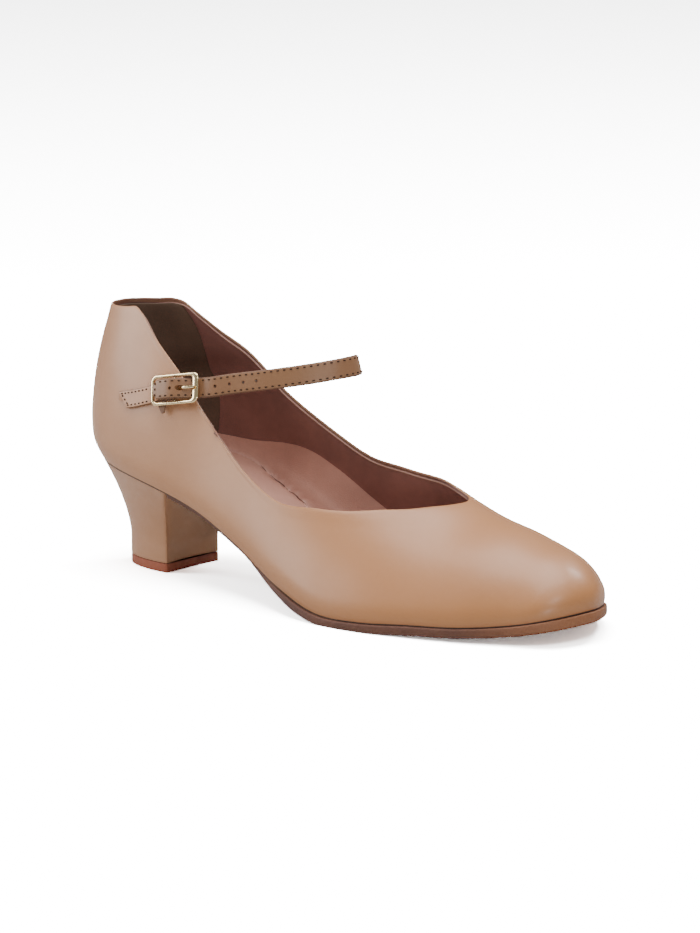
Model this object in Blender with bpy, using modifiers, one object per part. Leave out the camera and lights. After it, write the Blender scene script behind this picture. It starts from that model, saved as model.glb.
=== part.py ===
"""A right-foot character shoe: upper, insole, outsole, heel, top lift, instep strap and buckle.

Lengths are in metres. +X runs to the toe, +Y to the inner side of the foot, +Z up.
The origin is the middle of the top lift's underside, where the heel stands on the floor.
Forms are worked out from the back of the shoe and moved to that origin at the end.
"""

import math
from collections import namedtuple

import bmesh
import bpy
import numpy as np
from mathutils import Matrix, Vector

# The last: the solid foot form that the upper is drawn over.
FOOT_LENGTH = 0.2335
BALL_WIDTH = 0.078
HEEL_RISE = 0.0406  # feather line over the floor at the back
TOE_SPRING = 0.0079
INSTEP_RISE = 0.0581  # ridge over the feather line at the instep
BACK_ROUND = 0.0460  # length of the rounded back, seen from above
BACK_FULLNESS = 2.36
TOE_ROUND = 0.0287  # length of the rounded toe, seen from above
TOE_FULLNESS = 2.06
TOE_BOX = 0.0226  # length over which the ridge falls to the toe
TOE_BOX_FULLNESS = 2.26
SIDE_FULLNESS = 1.49
RIDGE_FULLNESS = 2.00
RIDGE_LEAN_START = 1.6
FEATHER_TUCK = 0.0014  # how far the upper turns in under the last at the feather line
FEATHER_TUCK_RISE = 0.008
FEATHER_TUCK_FADE = 0.012  # half width below which the tuck gets smaller
TOE_TUCK_LENGTH = 0.048
BACK_CURVE_REACH = 0.060
BACK_CURVE_FADE = 1.5

# The upper and what closes it below.
UPPER_WALL = 0.0016
CLEARANCE = 0.0003
BACK_RISE = 0.0560  # topline over the feather line at the back
THROAT_FROM_BACK = 0.1685
INSOLE_THICKNESS = 0.0028
INSOLE_EDGE_ROOM = 0.0006
INSOLE_EDGE = 0.0004
OUTSOLE_THICKNESS = 0.0032
STANDING_FLAT = 0.0002  # how much the ball's curve is cut flat where it stands
SHANK_THICKNESS = 0.0018
OUTSOLE_LIP = 0.0012
SHANK_INSET = 0.0012
OUTSOLE_EDGE = 0.0005
TOE_THICKENING = 0.37  # share of the sole's thickness added at the tip
TIP_ROUNDING = 0.0014  # how far the sole's underside draws in more at the tip
SPREAD_START = 0.40  # where the thin shank begins to widen, as a share of the foot length
SPREAD_END = 0.56

# The heel.
HEEL_TOP_LENGTH = 0.0535
LIFT_THICKNESS = 0.0034
LIFT_BACK = 0.0145  # back of the top lift from the back of the shoe
LIFT_LENGTH = 0.0277
LIFT_WIDTH = 0.0280
LIFT_FULLNESS = 2.2
LIFT_EDGE = 0.0003
HEEL_INWARD = 0.0004  # the lift's middle line, to the inner side
BREAST_HOLLOW = 0.0012
HEEL_CURVE_END = 0.80
HEEL_CURVE = 1.55

# The instep strap.
STRAP_WIDTH = 0.0075
STRAP_THICKNESS = 0.0018
STRAP_LEAN = math.radians(14)
STRAP_TIP_ROUND = 0.0022
STRAP_TIP_TAPER = 0.45  # share of the width lost at the tip
STRAP_TAIL_ROOM = 0.0002  # more room where the strap leans more than the quarter under it
STRAP_TURN = 0.015  # length over which it turns from the buckle's slope to its own lean
BAND_EASE = 0.28  # eased edges of strap and tab, as a share of their thickness

# The tab that holds the buckle on the outer quarter.
TAB_WIDTH = 0.0066
TAB_THICKNESS = 0.0008
TAB_SLANT = 0.0045
TAB_LOOP_START = math.radians(-80)
TAB_LOOP_END = math.radians(155)

# The buckle, in its own axes: along the strap, across it, and out from the foot.
BUCKLE_LENGTH = 0.0210
BUCKLE_WIRE = 0.0013
BUCKLE_END_BAR = 0.0026
BUCKLE_CORNER = 0.0026
BUCKLE_EDGE = 0.0003
BUCKLE_SIDE_ROOM = 0.00065  # between the strap's edge and the frame
BUCKLE_CLIMB = math.radians(12.3)
BUCKLE_YAW = math.radians(1.6)
BAR_FROM_END = 0.0102
BAR_DROP = 0.0006  # the middle bar below the frame's own middle
BAR_RADIUS = 0.0005
LOOP_ROOM = 0.0004  # between the tab's loop and the quarter
PRONG_RADIUS = 0.0006
PRONG_SLEEVE_WIDTH = 0.0022
PRONG_SLEEVE_WALL = 0.0004
PRONG_ROOM = 0.0004  # round the prong in the strap's hole and in the tab's slot
PRONG_SLOT_BEHIND = 0.0018  # how far the slot runs behind the middle bar
PRONG_SLOT_LENGTH = 0.0060
PRONG_HOLE_FROM_BAR = 0.0020
PRONG_HOLE_LENGTH = 0.0034
CUTTER_REACH = 0.010

BUCKLE_HEIGHT = STRAP_WIDTH + 2 * (BUCKLE_SIDE_ROOM + BUCKLE_WIRE)
LOOP_RADIUS = BAR_RADIUS + CLEARANCE + TAB_THICKNESS
BUCKLE_STAND_OFF = BAR_DROP + LOOP_RADIUS + LOOP_ROOM
OVER_BAR = LOOP_RADIUS - BAR_DROP + CLEARANCE + STRAP_THICKNESS / 2
UNDER_FRAME = -(BUCKLE_WIRE / 2 + CLEARANCE + STRAP_THICKNESS / 2)
ON_FRAME = BUCKLE_WIRE / 2 + CLEARANCE + PRONG_RADIUS

# How finely the curves are cut up.
SIDE_COLUMNS = 46
UPPER_ROWS = 14
SOLE_COLUMNS = 40
HEEL_COLUMNS = 18
HEEL_ROWS = 10
STRAP_STEPS = 64
TAB_STEPS = 40
PRONG_STEPS = 16
ROD_SIDES = 16
CORNER_STEPS = 4
BREAST_STEPS = 5
PATH_SAMPLES = 40
NORMAL_STEP = 0.0005
WELD_DISTANCE = 0.00001
SHARP_ANGLE = math.radians(40)

# One row for each section across the last. along: share of the foot length. outer and inner:
# half widths as shares of the ball width. seat: share of the heel's rise. spring: share of the
# toe spring. ridge: share of the instep's rise.
Section = namedtuple("Section", "along outer inner seat spring ridge")
SECTIONS = (
    Section(0.00, 0.333, 0.348, 1.000, 0.00, 1.239),
    Section(0.10, 0.339, 0.362, 0.954, 0.00, 1.239),
    Section(0.20, 0.355, 0.376, 0.862, 0.00, 1.196),
    Section(0.30, 0.367, 0.365, 0.700, 0.00, 1.057),
    Section(0.40, 0.408, 0.349, 0.450, 0.00, 1.000),
    Section(0.50, 0.478, 0.371, 0.181, 0.00, 0.927),
    Section(0.60, 0.529, 0.428, 0.007, 0.00, 0.824),
    Section(0.68, 0.523, 0.470, 0.000, 0.00, 0.695),
    Section(0.76, 0.474, 0.469, 0.000, 0.14, 0.566),
    Section(0.84, 0.406, 0.431, 0.000, 0.24, 0.498),
    Section(0.92, 0.326, 0.395, 0.000, 0.50, 0.382),
    Section(1.00, 0.385, 0.270, 0.000, 1.00, 0.276),
)

# How far the ridge lies to the inner side of the middle line, as shares of the ball width.
RidgeLean = namedtuple("RidgeLean", "along inward")
RIDGE_LEANS = (
    RidgeLean(0.00, 0.0),
    RidgeLean(0.30, 0.060),
    RidgeLean(0.50, 0.064),
    RidgeLean(0.65, 0.102),
    RidgeLean(0.85, 0.051),
    RidgeLean(1.00, 0.0),
)

# The curve of the back, seen from the side. Both are shares of the back's rise.
BackPoint = namedtuple("BackPoint", "rise forward")
BACK_CURVE = (
    BackPoint(0.000, 0.109),
    BackPoint(0.107, 0.033),
    BackPoint(0.250, 0.000),
    BackPoint(0.393, 0.000),
    BackPoint(0.607, 0.023),
    BackPoint(0.821, 0.070),
    BackPoint(1.036, 0.135),
    BackPoint(1.250, 0.211),
)

# The topline. along: share of the way to the throat, where it meets the ridge. outer and inner:
# shares of the back's rise.
Topline = namedtuple("Topline", "along outer inner")
TOPLINE = (
    Topline(0.000, 1.003, 1.004),
    Topline(0.059, 1.013, 1.015),
    Topline(0.107, 1.036, 1.031),
    Topline(0.134, 1.050, 1.020),
    Topline(0.161, 1.024, 0.972),
    Topline(0.226, 0.918, 0.875),
    Topline(0.308, 0.793, 0.804),
    Topline(0.415, 0.594, 0.653),
    Topline(0.534, 0.471, 0.621),
    Topline(0.653, 0.468, 0.627),
    Topline(0.771, 0.574, 0.702),
    Topline(0.889, 0.637, 0.728),
    Topline(0.934, 0.641, 0.702),
    Topline(0.972, 0.648, 0.664),
)

# The middle line of the strap where it stands free over the instep, from the buckle round to the
# inner side. along: share of the foot length. inward: share of the ball width. over: height over
# the feather line, as a share of the instep's rise.
StrapPoint = namedtuple("StrapPoint", "along inward over")
STRAP_ARCH = (
    StrapPoint(0.327, -0.190, 0.825),
    StrapPoint(0.391, -0.115, 0.978),
    StrapPoint(0.450, 0.015, 1.127),
    StrapPoint(0.470, 0.100, 1.180),
    StrapPoint(0.474, 0.182, 1.191),
    StrapPoint(0.466, 0.235, 1.170),
    StrapPoint(0.447, 0.279, 1.110),
    StrapPoint(0.402, 0.312, 0.980),
    StrapPoint(0.341, 0.327, 0.818),
    StrapPoint(0.290, 0.328, 0.694),
)

# Places on the upper. along: share of the foot length. rise: share of the back's rise.
OnUpper = namedtuple("OnUpper", "along rise")
BUCKLE_PLACE = OnUpper(0.1948, 0.603)
STRAP_TAIL = (
    OnUpper(0.2388, 0.618),
    OnUpper(0.2132, 0.564),
    OnUpper(0.1876, 0.510),
)
TAB_ON_QUARTER = (
    OnUpper(0.1203, 0.465),
    OnUpper(0.1539, 0.515),
    OnUpper(0.1834, 0.569),
)

# Rows in the buckle. along: 0 at the frame's back end, 1 at the middle bar, 2 at the frame's front
# end. out, for the strap: 1 where it lies on the tab's loop over the middle bar, 0 where it runs
# under the end bar. out, for the prong: 0 at the middle bar's own height, 1 on the end bar.
InBuckle = namedtuple("InBuckle", "along out")
STRAP_IN_BUCKLE = (
    InBuckle(0.245, 0.852),
    InBuckle(0.627, 0.975),
    InBuckle(1.000, 1.000),
    InBuckle(1.278, 0.753),
    InBuckle(1.537, 0.309),
    InBuckle(1.759, -0.012),
    InBuckle(2.019, -0.086),
    InBuckle(2.370, -0.111),
)
PRONG_PATH = (
    InBuckle(1.083, 0.186),
    InBuckle(1.222, 0.326),
    InBuckle(1.361, 0.744),
    InBuckle(1.509, 1.116),
    InBuckle(1.704, 1.116),
    InBuckle(1.935, 1.009),
)
TAB_TO_LOOP = (0.294, 0.637)  # along, where the tab runs flat before its loop

SOLE_LINE = OUTSOLE_THICKNESS - STANDING_FLAT + CLEARANCE
ORIGIN = np.array((LIFT_BACK + LIFT_LENGTH / 2, HEEL_INWARD, 0.0))
OUTER = -1
INNER = 1


def column(rows, name):
    return np.array([getattr(row, name) for row in rows])


def smooth(at, stations, values):
    """A smooth curve through the values at the stations, read at other places."""
    slopes = np.gradient(values, stations)
    index = np.clip(np.searchsorted(stations, at, side="right") - 1, 0, len(stations) - 2)
    step = stations[index + 1] - stations[index]
    t = np.clip((at - stations[index]) / step, 0, 1)
    start = (1 + 2 * t) * (1 - t) ** 2 * values[index]
    end = t * t * (3 - 2 * t) * values[index + 1]
    leave = t * (1 - t) ** 2 * step * slopes[index]
    arrive = t * t * (t - 1) * step * slopes[index + 1]
    return start + end + leave + arrive


def section_value(x, name):
    return smooth(x / FOOT_LENGTH, column(SECTIONS, "along"), column(SECTIONS, name))


def rounded_end(past, fullness):
    """1 along the body of the form, falling to 0 where past reaches 1."""
    return np.maximum(1 - np.clip(past, 0, 1) ** fullness, 0) ** (1 / fullness)


def feather_height(x):
    seat = (HEEL_RISE - SOLE_LINE) * section_value(x, "seat")
    return SOLE_LINE + seat + TOE_SPRING * section_value(x, "spring")


def ridge_rise(x):
    toe = rounded_end(1 - (FOOT_LENGTH - x) / TOE_BOX, TOE_BOX_FULLNESS)
    return INSTEP_RISE * section_value(x, "ridge") * toe


def half_width(x, side):
    back = rounded_end(1 - x / BACK_ROUND, BACK_FULLNESS)
    toe = rounded_end(1 - (FOOT_LENGTH - x) / TOE_ROUND, TOE_FULLNESS)
    return BALL_WIDTH * section_value(x, "outer" if side == OUTER else "inner") * back * toe


RIDGE_X = np.linspace(0, FOOT_LENGTH, 1201)
RIDGE_RISES = np.minimum.accumulate(ridge_rise(RIDGE_X))


def front_at(rise):
    """How far forward the last reaches at a rise over the feather line."""
    return np.interp(-rise, -RIDGE_RISES, RIDGE_X)


def on_last(x, rise, side):
    """Points on the last's surface, as an array of rows, from the back of the shoe."""
    x, rise = np.broadcast_arrays(np.asarray(x, float), np.asarray(rise, float))
    width = half_width(x, side)
    share = np.clip(rise / np.maximum(ridge_rise(x), 1e-9), 0, 1)
    out = width * np.maximum(1 - share**SIDE_FULLNESS, 0) ** (1 / RIDGE_FULLNESS)
    tuck = FEATHER_TUCK * np.clip(1 - rise / FEATHER_TUCK_RISE, 0, 1) ** 2
    out = out * (1 - tuck / np.maximum(width, FEATHER_TUCK_FADE))
    lean = smooth(x / FOOT_LENGTH, column(RIDGE_LEANS, "along"), column(RIDGE_LEANS, "inward"))
    lean = lean * BALL_WIDTH
    back = smooth(rise / BACK_RISE, column(BACK_CURVE, "rise"), column(BACK_CURVE, "forward"))
    back = back * BACK_RISE * np.clip(1 - x / BACK_CURVE_REACH, 0, 1) ** BACK_CURVE_FADE
    toe = tuck * np.clip(1 - (FOOT_LENGTH - x) / TOE_TUCK_LENGTH, 0, 1) ** 2
    y = side * out + lean * share**RIDGE_LEAN_START
    return np.stack([x + back - toe, y, feather_height(x) + rise], axis=-1)


def even_shares(count):
    """Shares from back to toe, closer together at the two rounded ends."""
    return (1 - np.cos(np.pi * np.linspace(0, 1, count))) / 2


def topline_rise(x, side):
    """The topline's rise over the feather line. At the throat it meets the ridge."""
    along = np.append(column(TOPLINE, "along"), 1.0)
    rises = BACK_RISE * column(TOPLINE, "outer" if side == OUTER else "inner")
    rises = np.append(rises, ridge_rise(np.array(THROAT_FROM_BACK)))
    return smooth(x / THROAT_FROM_BACK, along, rises)


def upper_columns(side):
    """One column of points for each share of the way round a side, from feather to topline."""
    shares = even_shares(SIDE_COLUMNS)
    top_x = shares * THROAT_FROM_BACK
    top_rise = topline_rise(top_x, side)
    top_share = np.minimum(1, top_x / front_at(top_rise))
    top_share[-1] = 1
    up = np.linspace(0, 1, UPPER_ROWS)[None, :]
    share = (1 - up) * shares[:, None] + up * top_share[:, None]
    rise = up * top_rise[:, None]
    return on_last(share * front_at(rise), rise, side)


def seat_on_upper(place, side, stand_off):
    """A point at a distance out from the upper, and the surface's outward direction there."""
    x, rise = place.along * FOOT_LENGTH, place.rise * BACK_RISE
    places_x, rises = [x, x + NORMAL_STEP, x], [rise, rise, rise + NORMAL_STEP]
    here, ahead, above = on_last(places_x, rises, side)
    forward = Vector(ahead - here).normalized()
    outward = forward.cross(Vector(above - here)).normalized()
    if outward.y * side < 0:
        outward.negate()
    return Vector(here) + outward * stand_off, outward


def edge_normals(points, side):
    """Flat outward directions along one side's edge."""
    run = np.gradient(points[:, :2], axis=0)
    run /= np.maximum(np.linalg.norm(run, axis=1), 1e-9)[:, None]
    return side * np.stack([-run[:, 1], run[:, 0]], axis=1)


def collection_named(name, hidden=False):
    found = bpy.data.collections.new(name)
    bpy.context.scene.collection.children.link(found)
    found.hide_render = hidden
    return found


def make_material(name, color, roughness, metallic=0.0):
    material = bpy.data.materials.new(name)
    material.use_nodes = True
    shader = material.node_tree.nodes["Principled BSDF"]
    shader.inputs["Base Color"].default_value = (*color, 1)
    shader.inputs["Roughness"].default_value = roughness
    shader.inputs["Metallic"].default_value = metallic
    return material


def make_piece(name, points, faces, material, collection):
    """An object from points and faces. A closed one is turned to face out by its volume."""
    mesh = bpy.data.meshes.new(name)
    mesh.from_pydata([tuple(point) for point in points], [], faces)
    shape = bmesh.new()
    shape.from_mesh(mesh)
    if all(edge.is_manifold for edge in shape.edges) and shape.calc_volume(signed=True) < 0:
        bmesh.ops.reverse_faces(shape, faces=shape.faces)
    shape.to_mesh(mesh)
    shape.free()
    mesh.materials.append(material)
    mesh.shade_smooth()
    mesh.set_sharp_from_angle(angle=SHARP_ANGLE)
    made = bpy.data.objects.new(name, mesh)
    collection.objects.link(made)
    return made


def ladder_solid(name, levels, end_points, material, collection):
    """A closed solid between level outlines. Each level is an outer and an inner edge, from back
    to front. The edges meet at the back, and at the front when end_points is None. Otherwise the
    front is closed by a wall through each level's end points."""
    points, faces, rings = [], [], []
    closed_back = np.allclose(levels[0][0][0], levels[0][1][0])
    closed_front = end_points is None
    for number, (outer, inner) in enumerate(levels):
        start = len(points)
        count = len(outer)
        points += list(outer)
        middle = [] if closed_front else list(end_points[number])
        points += middle
        back_of_inner = 1 if closed_back else 0
        front_of_inner = count - 1 if closed_front else count
        inner_index = {}
        order = list(range(start, start + count + len(middle)))
        for index in reversed(range(back_of_inner, front_of_inner)):
            inner_index[index] = len(points)
            order.append(len(points))
            points.append(inner[index])
        if closed_back:
            inner_index[0] = start
        if closed_front:
            inner_index[count - 1] = start + count - 1
        rings.append((start, count, len(middle), inner_index, order))
    for lower, upper in zip(rings, rings[1:]):
        size = len(lower[4])
        for index in range(size):
            after = (index + 1) % size
            faces.append((lower[4][index], lower[4][after], upper[4][after], upper[4][index]))
    for ring, turned in ((rings[0], -1), (rings[-1], 1)):
        start, count, middle_count, inner_index, _ = ring
        for index in range(count - 1):
            corners = (start + index, start + index + 1, inner_index[index + 1], inner_index[index])
            faces.append(tuple(dict.fromkeys(corners))[::turned])
        if middle_count:
            front = [start + count - 1 + step for step in range(middle_count + 1)]
            faces.append((*front, inner_index[count - 1])[::turned])
    return make_piece(name, points, faces, material, collection)


def band_solid(name, centres, ups, widths, thickness, material, collection):
    """A flat band with eased edges along a path. ups run across the band's width."""
    ease = thickness * BAND_EASE
    points, faces = [], []
    for index, centre in enumerate(centres):
        before = centres[max(index - 1, 0)]
        after = centres[min(index + 1, len(centres) - 1)]
        run = (after - before).normalized()
        up = (ups[index] - run * ups[index].dot(run)).normalized()
        out = run.cross(up).normalized()
        half, deep = widths[index] / 2, thickness / 2
        for across, through in (
            (-half + ease, -deep),
            (half - ease, -deep),
            (half, -deep + ease),
            (half, deep - ease),
            (half - ease, deep),
            (-half + ease, deep),
            (-half, deep - ease),
            (-half, -deep + ease),
        ):
            points.append(centre + up * across + out * through)
    sides = 8
    for index in range(len(centres) - 1):
        for corner in range(sides):
            here = index * sides + corner
            beside = index * sides + (corner + 1) % sides
            faces.append((here, beside, beside + sides, here + sides))
    faces.append(tuple(reversed(range(sides))))
    faces.append(tuple(range(len(points) - sides, len(points))))
    return make_piece(name, points, faces, material, collection)


def resample(path, count):
    """Even steps along a smooth curve through the path's points."""
    rows = np.array([tuple(point) for point in path])
    length = np.concatenate([[0], np.cumsum(np.linalg.norm(np.diff(rows, axis=0), axis=1))])
    dense_at = np.linspace(0, length[-1], PATH_SAMPLES * len(rows))
    dense = np.stack([smooth(dense_at, length, rows[:, axis]) for axis in range(3)], axis=1)
    run = np.concatenate([[0], np.cumsum(np.linalg.norm(np.diff(dense, axis=0), axis=1))])
    even = np.linspace(0, run[-1], count)
    return [Vector([np.interp(at, run, dense[:, axis]) for axis in range(3)]) for at in even]


def boolean(target, cutter, operation, name):
    modifier = target.modifiers.new(name, "BOOLEAN")
    modifier.operation = operation
    modifier.solver = "EXACT"
    modifier.object = cutter


def clear_scene():
    for thing in list(bpy.data.objects):
        bpy.data.objects.remove(thing, do_unlink=True)


def build_upper(material, collection):
    """An open shell round the last, drawn in by the wall's thickness."""
    outer = upper_columns(OUTER)
    inner = upper_columns(INNER)
    around = list(outer) + [inner[index] for index in reversed(range(1, SIDE_COLUMNS - 1))]
    points = [point for rows in around for point in rows]
    count = len(around)
    faces = []
    for index in range(count):
        beside = (index + 1) % count
        for row in range(UPPER_ROWS - 1):
            low, low_beside = index * UPPER_ROWS + row, beside * UPPER_ROWS + row
            faces.append((low, low_beside, low_beside + 1, low + 1))
    upper = make_piece("upper", points, faces, material, collection)
    wall = upper.modifiers.new("Wall", "SOLIDIFY")
    wall.thickness = UPPER_WALL
    wall.offset = -1
    wall.use_even_offset = True
    wall.use_rim = True
    return upper


def feather_edge(x, side, offset):
    """The feather line on one side, moved outward in plan. It faces straight back and ahead where
    it crosses the middle line."""
    points = on_last(x, np.zeros_like(x), side)
    normals = edge_normals(points, side)
    if x[0] < 1e-6:
        normals[0] = (-1, 0)
    if x[-1] > FOOT_LENGTH - 1e-6:
        normals[-1] = (1, 0)
    moved = points.copy()
    moved[:, :2] += normals * np.broadcast_to(offset, x.shape)[:, None]
    return moved


def at_height(edge, heights):
    moved = edge.copy()
    moved[:, 2] = heights
    return moved


def build_insole(material, collection):
    """The board and sock that close the upper over its whole length, inside the wall."""
    x = even_shares(SOLE_COLUMNS) * FOOT_LENGTH
    inset = -(UPPER_WALL + CLEARANCE + INSOLE_EDGE_ROOM)
    levels = []
    for lift, draw_in in ((0.0, INSOLE_EDGE), (INSOLE_EDGE, 0.0), (INSOLE_THICKNESS, INSOLE_EDGE)):
        edges = [feather_edge(x, side, inset - draw_in) for side in (OUTER, INNER)]
        heights = feather_height(x) + lift
        levels.append([at_height(edge, heights) for edge in edges])
    return ladder_solid("insole", levels, None, material, collection)


def outsole_spread(x):
    """0 in the shank and 1 from the ball forward."""
    share = np.clip((x / FOOT_LENGTH - SPREAD_START) / (SPREAD_END - SPREAD_START), 0, 1)
    return share * share * (3 - 2 * share)


def toward_tip(x):
    """0 behind the toe and 1 at its tip."""
    return np.clip(1 - (FOOT_LENGTH - x) / TOE_TUCK_LENGTH, 0, 1)


def outsole_thickness(x):
    thickness = SHANK_THICKNESS + (OUTSOLE_THICKNESS - SHANK_THICKNESS) * outsole_spread(x)
    return thickness * (1 + TOE_THICKENING * toward_tip(x) ** 2)


def build_outsole(material, collection):
    """The sole from the heel's breast to the toe, flat where it stands under the ball."""
    back = HEEL_TOP_LENGTH + CLEARANCE
    share = 1 - np.cos(np.pi / 2 * np.linspace(0, 1, SOLE_COLUMNS))
    x = FOOT_LENGTH - (FOOT_LENGTH - back) * share[::-1]
    offset = -SHANK_INSET + (SHANK_INSET + OUTSOLE_LIP) * outsole_spread(x)
    top = feather_height(x) - CLEARANCE
    bottom = np.maximum(top - outsole_thickness(x), 0)
    rounding = TIP_ROUNDING * toward_tip(x) ** 2
    levels = []
    for draw_in, heights in (
        (OUTSOLE_EDGE + rounding, bottom),
        (0.0, bottom + OUTSOLE_EDGE + rounding),
        (0.0, top - OUTSOLE_EDGE),
        (OUTSOLE_EDGE, top),
    ):
        edges = [feather_edge(x, side, offset - draw_in) for side in (OUTER, INNER)]
        levels.append([at_height(edge, heights) for edge in edges])
    return ladder_solid("outsole", levels, None, material, collection)


def lift_edge(side, draw_in):
    """One side of the top lift's outline, from its back to the breast corner."""
    share = 1 - np.cos(np.pi / 2 * np.linspace(0, 1, HEEL_COLUMNS))
    length, half = LIFT_LENGTH - 2 * draw_in, LIFT_WIDTH / 2 - draw_in
    x = LIFT_BACK + draw_in + length * share
    out = half * rounded_end(1 - share, LIFT_FULLNESS)
    return np.stack([x, HEEL_INWARD + side * out, np.zeros_like(x)], axis=1)


def breast_points(outer_corner, inner_corner, hollow):
    """Points across the breast between its two corners, bowed back toward the heel."""
    found = []
    for step in range(1, BREAST_STEPS):
        share = step / BREAST_STEPS
        point = outer_corner * (1 - share) + inner_corner * share
        point[0] -= hollow * 4 * share * (1 - share)
        found.append(point)
    return found


def build_heel(material, collection):
    """The covered heel block: it draws in from the seat's outline to the top lift's."""
    share = 1 - np.cos(np.pi / 2 * np.linspace(0, 1, HEEL_COLUMNS))
    x = HEEL_TOP_LENGTH * share
    bottom_height = LIFT_THICKNESS + CLEARANCE
    levels, ends = [], []
    for down in np.linspace(1, 0, HEEL_ROWS + 1):
        drawn = 1 - (1 - min(down / HEEL_CURVE_END, 1)) ** HEEL_CURVE
        edges = []
        for side in (OUTER, INNER):
            top = feather_edge(x, side, 0.0)
            top[:, 2] -= CLEARANCE
            low = lift_edge(side, 0.0)
            edge = top * (1 - drawn) + low * drawn
            edge[:, 2] = top[:, 2] * (1 - down) + bottom_height * down
            edges.append(edge)
        levels.append(edges)
        ends.append(breast_points(edges[0][-1], edges[1][-1], BREAST_HOLLOW))
    return ladder_solid("heel", levels, ends, material, collection)


def build_top_lift(material, collection):
    levels, ends = [], []
    for height, draw_in in ((0.0, LIFT_EDGE), (LIFT_EDGE, 0.0), (LIFT_THICKNESS, 0.0)):
        edges = [at_height(lift_edge(side, draw_in), height) for side in (OUTER, INNER)]
        levels.append(edges)
        ends.append(breast_points(edges[0][-1], edges[1][-1], BREAST_HOLLOW))
    return ladder_solid("top_lift", levels, ends, material, collection)


def buckle_axes():
    """The buckle's own axes: x along the strap, y across it, z out from the foot."""
    start, outward = seat_on_upper(BUCKLE_PLACE, OUTER, BUCKLE_STAND_OFF)
    climb = Vector((math.cos(BUCKLE_CLIMB), 0, math.sin(BUCKLE_CLIMB)))
    forward = (climb - outward * climb.dot(outward)).normalized()
    across = outward.cross(forward)
    turn = Matrix.Rotation(BUCKLE_YAW, 3, across)
    forward, outward = turn @ forward, turn @ outward
    axes = Matrix((forward, across, outward)).transposed().to_4x4()
    return Matrix.Translation(start) @ axes


def in_buckle(along):
    """A place along the buckle, from the shares that its rows are given in."""
    if along <= 1:
        return along * BAR_FROM_END
    return BAR_FROM_END + (along - 1) * (BUCKLE_LENGTH - BAR_FROM_END)


def strap_path():
    """Centre points and across directions of the strap, from its tip to its sewn end."""
    axes = buckle_axes()
    path = []
    for row in STRAP_IN_BUCKLE:
        out = UNDER_FRAME + row.out * (OVER_BAR - UNDER_FRAME)
        path.append(axes @ Vector((in_buckle(row.along), 0, out)))
    for row in STRAP_ARCH:
        x = row.along * FOOT_LENGTH
        height = float(feather_height(np.array(x))) + row.over * INSTEP_RISE
        path.append(Vector((x, row.inward * BALL_WIDTH, height)))
    stand_off = CLEARANCE + STRAP_TAIL_ROOM + STRAP_THICKNESS / 2
    path += [seat_on_upper(row, INNER, stand_off)[0] for row in STRAP_TAIL]
    centres = resample(path, STRAP_STEPS)
    across = axes.to_3x3() @ Vector((0, 1, 0))
    ups = []
    for index, centre in enumerate(centres):
        run = centres[min(index + 1, STRAP_STEPS - 1)] - centres[max(index - 1, 0)]
        flat_out = Vector((run.y, -run.x, 0)).normalized()
        free = Vector((0, 0, math.cos(STRAP_LEAN))) - flat_out * math.sin(STRAP_LEAN)
        along = (axes.inverted() @ centre).x
        held = 1 - min(max((along - BUCKLE_LENGTH) / STRAP_TURN, 0), 1)
        if centre.y > 0:
            held = 0
        ups.append((across * held + free * (1 - held)).normalized())
    return centres, ups


def build_strap(material, collection, cutters):
    centres, ups = strap_path()
    run = [0.0]
    for here, after in zip(centres, centres[1:]):
        run.append(run[-1] + (after - here).length)
    widths = []
    for distance in run:
        past = max(1 - distance / STRAP_TIP_ROUND, 0)
        widths.append(STRAP_WIDTH * (1 - STRAP_TIP_TAPER * past**2))
    strap = band_solid("strap", centres, ups, widths, STRAP_THICKNESS, material, collection)
    middle = BAR_FROM_END + PRONG_HOLE_FROM_BAR + PRONG_HOLE_LENGTH / 2
    size = (PRONG_HOLE_LENGTH, 2 * (PRONG_RADIUS + PRONG_ROOM), CUTTER_REACH)
    cutter = box_cutter("prong_hole", buckle_axes(), (middle, 0, 0), size, cutters)
    boolean(strap, cutter, "DIFFERENCE", "Prong hole")
    return strap


def box_cutter(name, axes, centre, size, collection):
    mesh = bpy.data.meshes.new(name)
    shape = bmesh.new()
    bmesh.ops.create_cube(shape, size=1)
    bmesh.ops.scale(shape, vec=size, verts=shape.verts)
    bmesh.ops.translate(shape, vec=centre, verts=shape.verts)
    bmesh.ops.transform(shape, matrix=axes, verts=shape.verts)
    shape.to_mesh(mesh)
    shape.free()
    made = bpy.data.objects.new(name, mesh)
    made.display_type = "WIRE"
    made.hide_render = True
    collection.objects.link(made)
    return made


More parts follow.
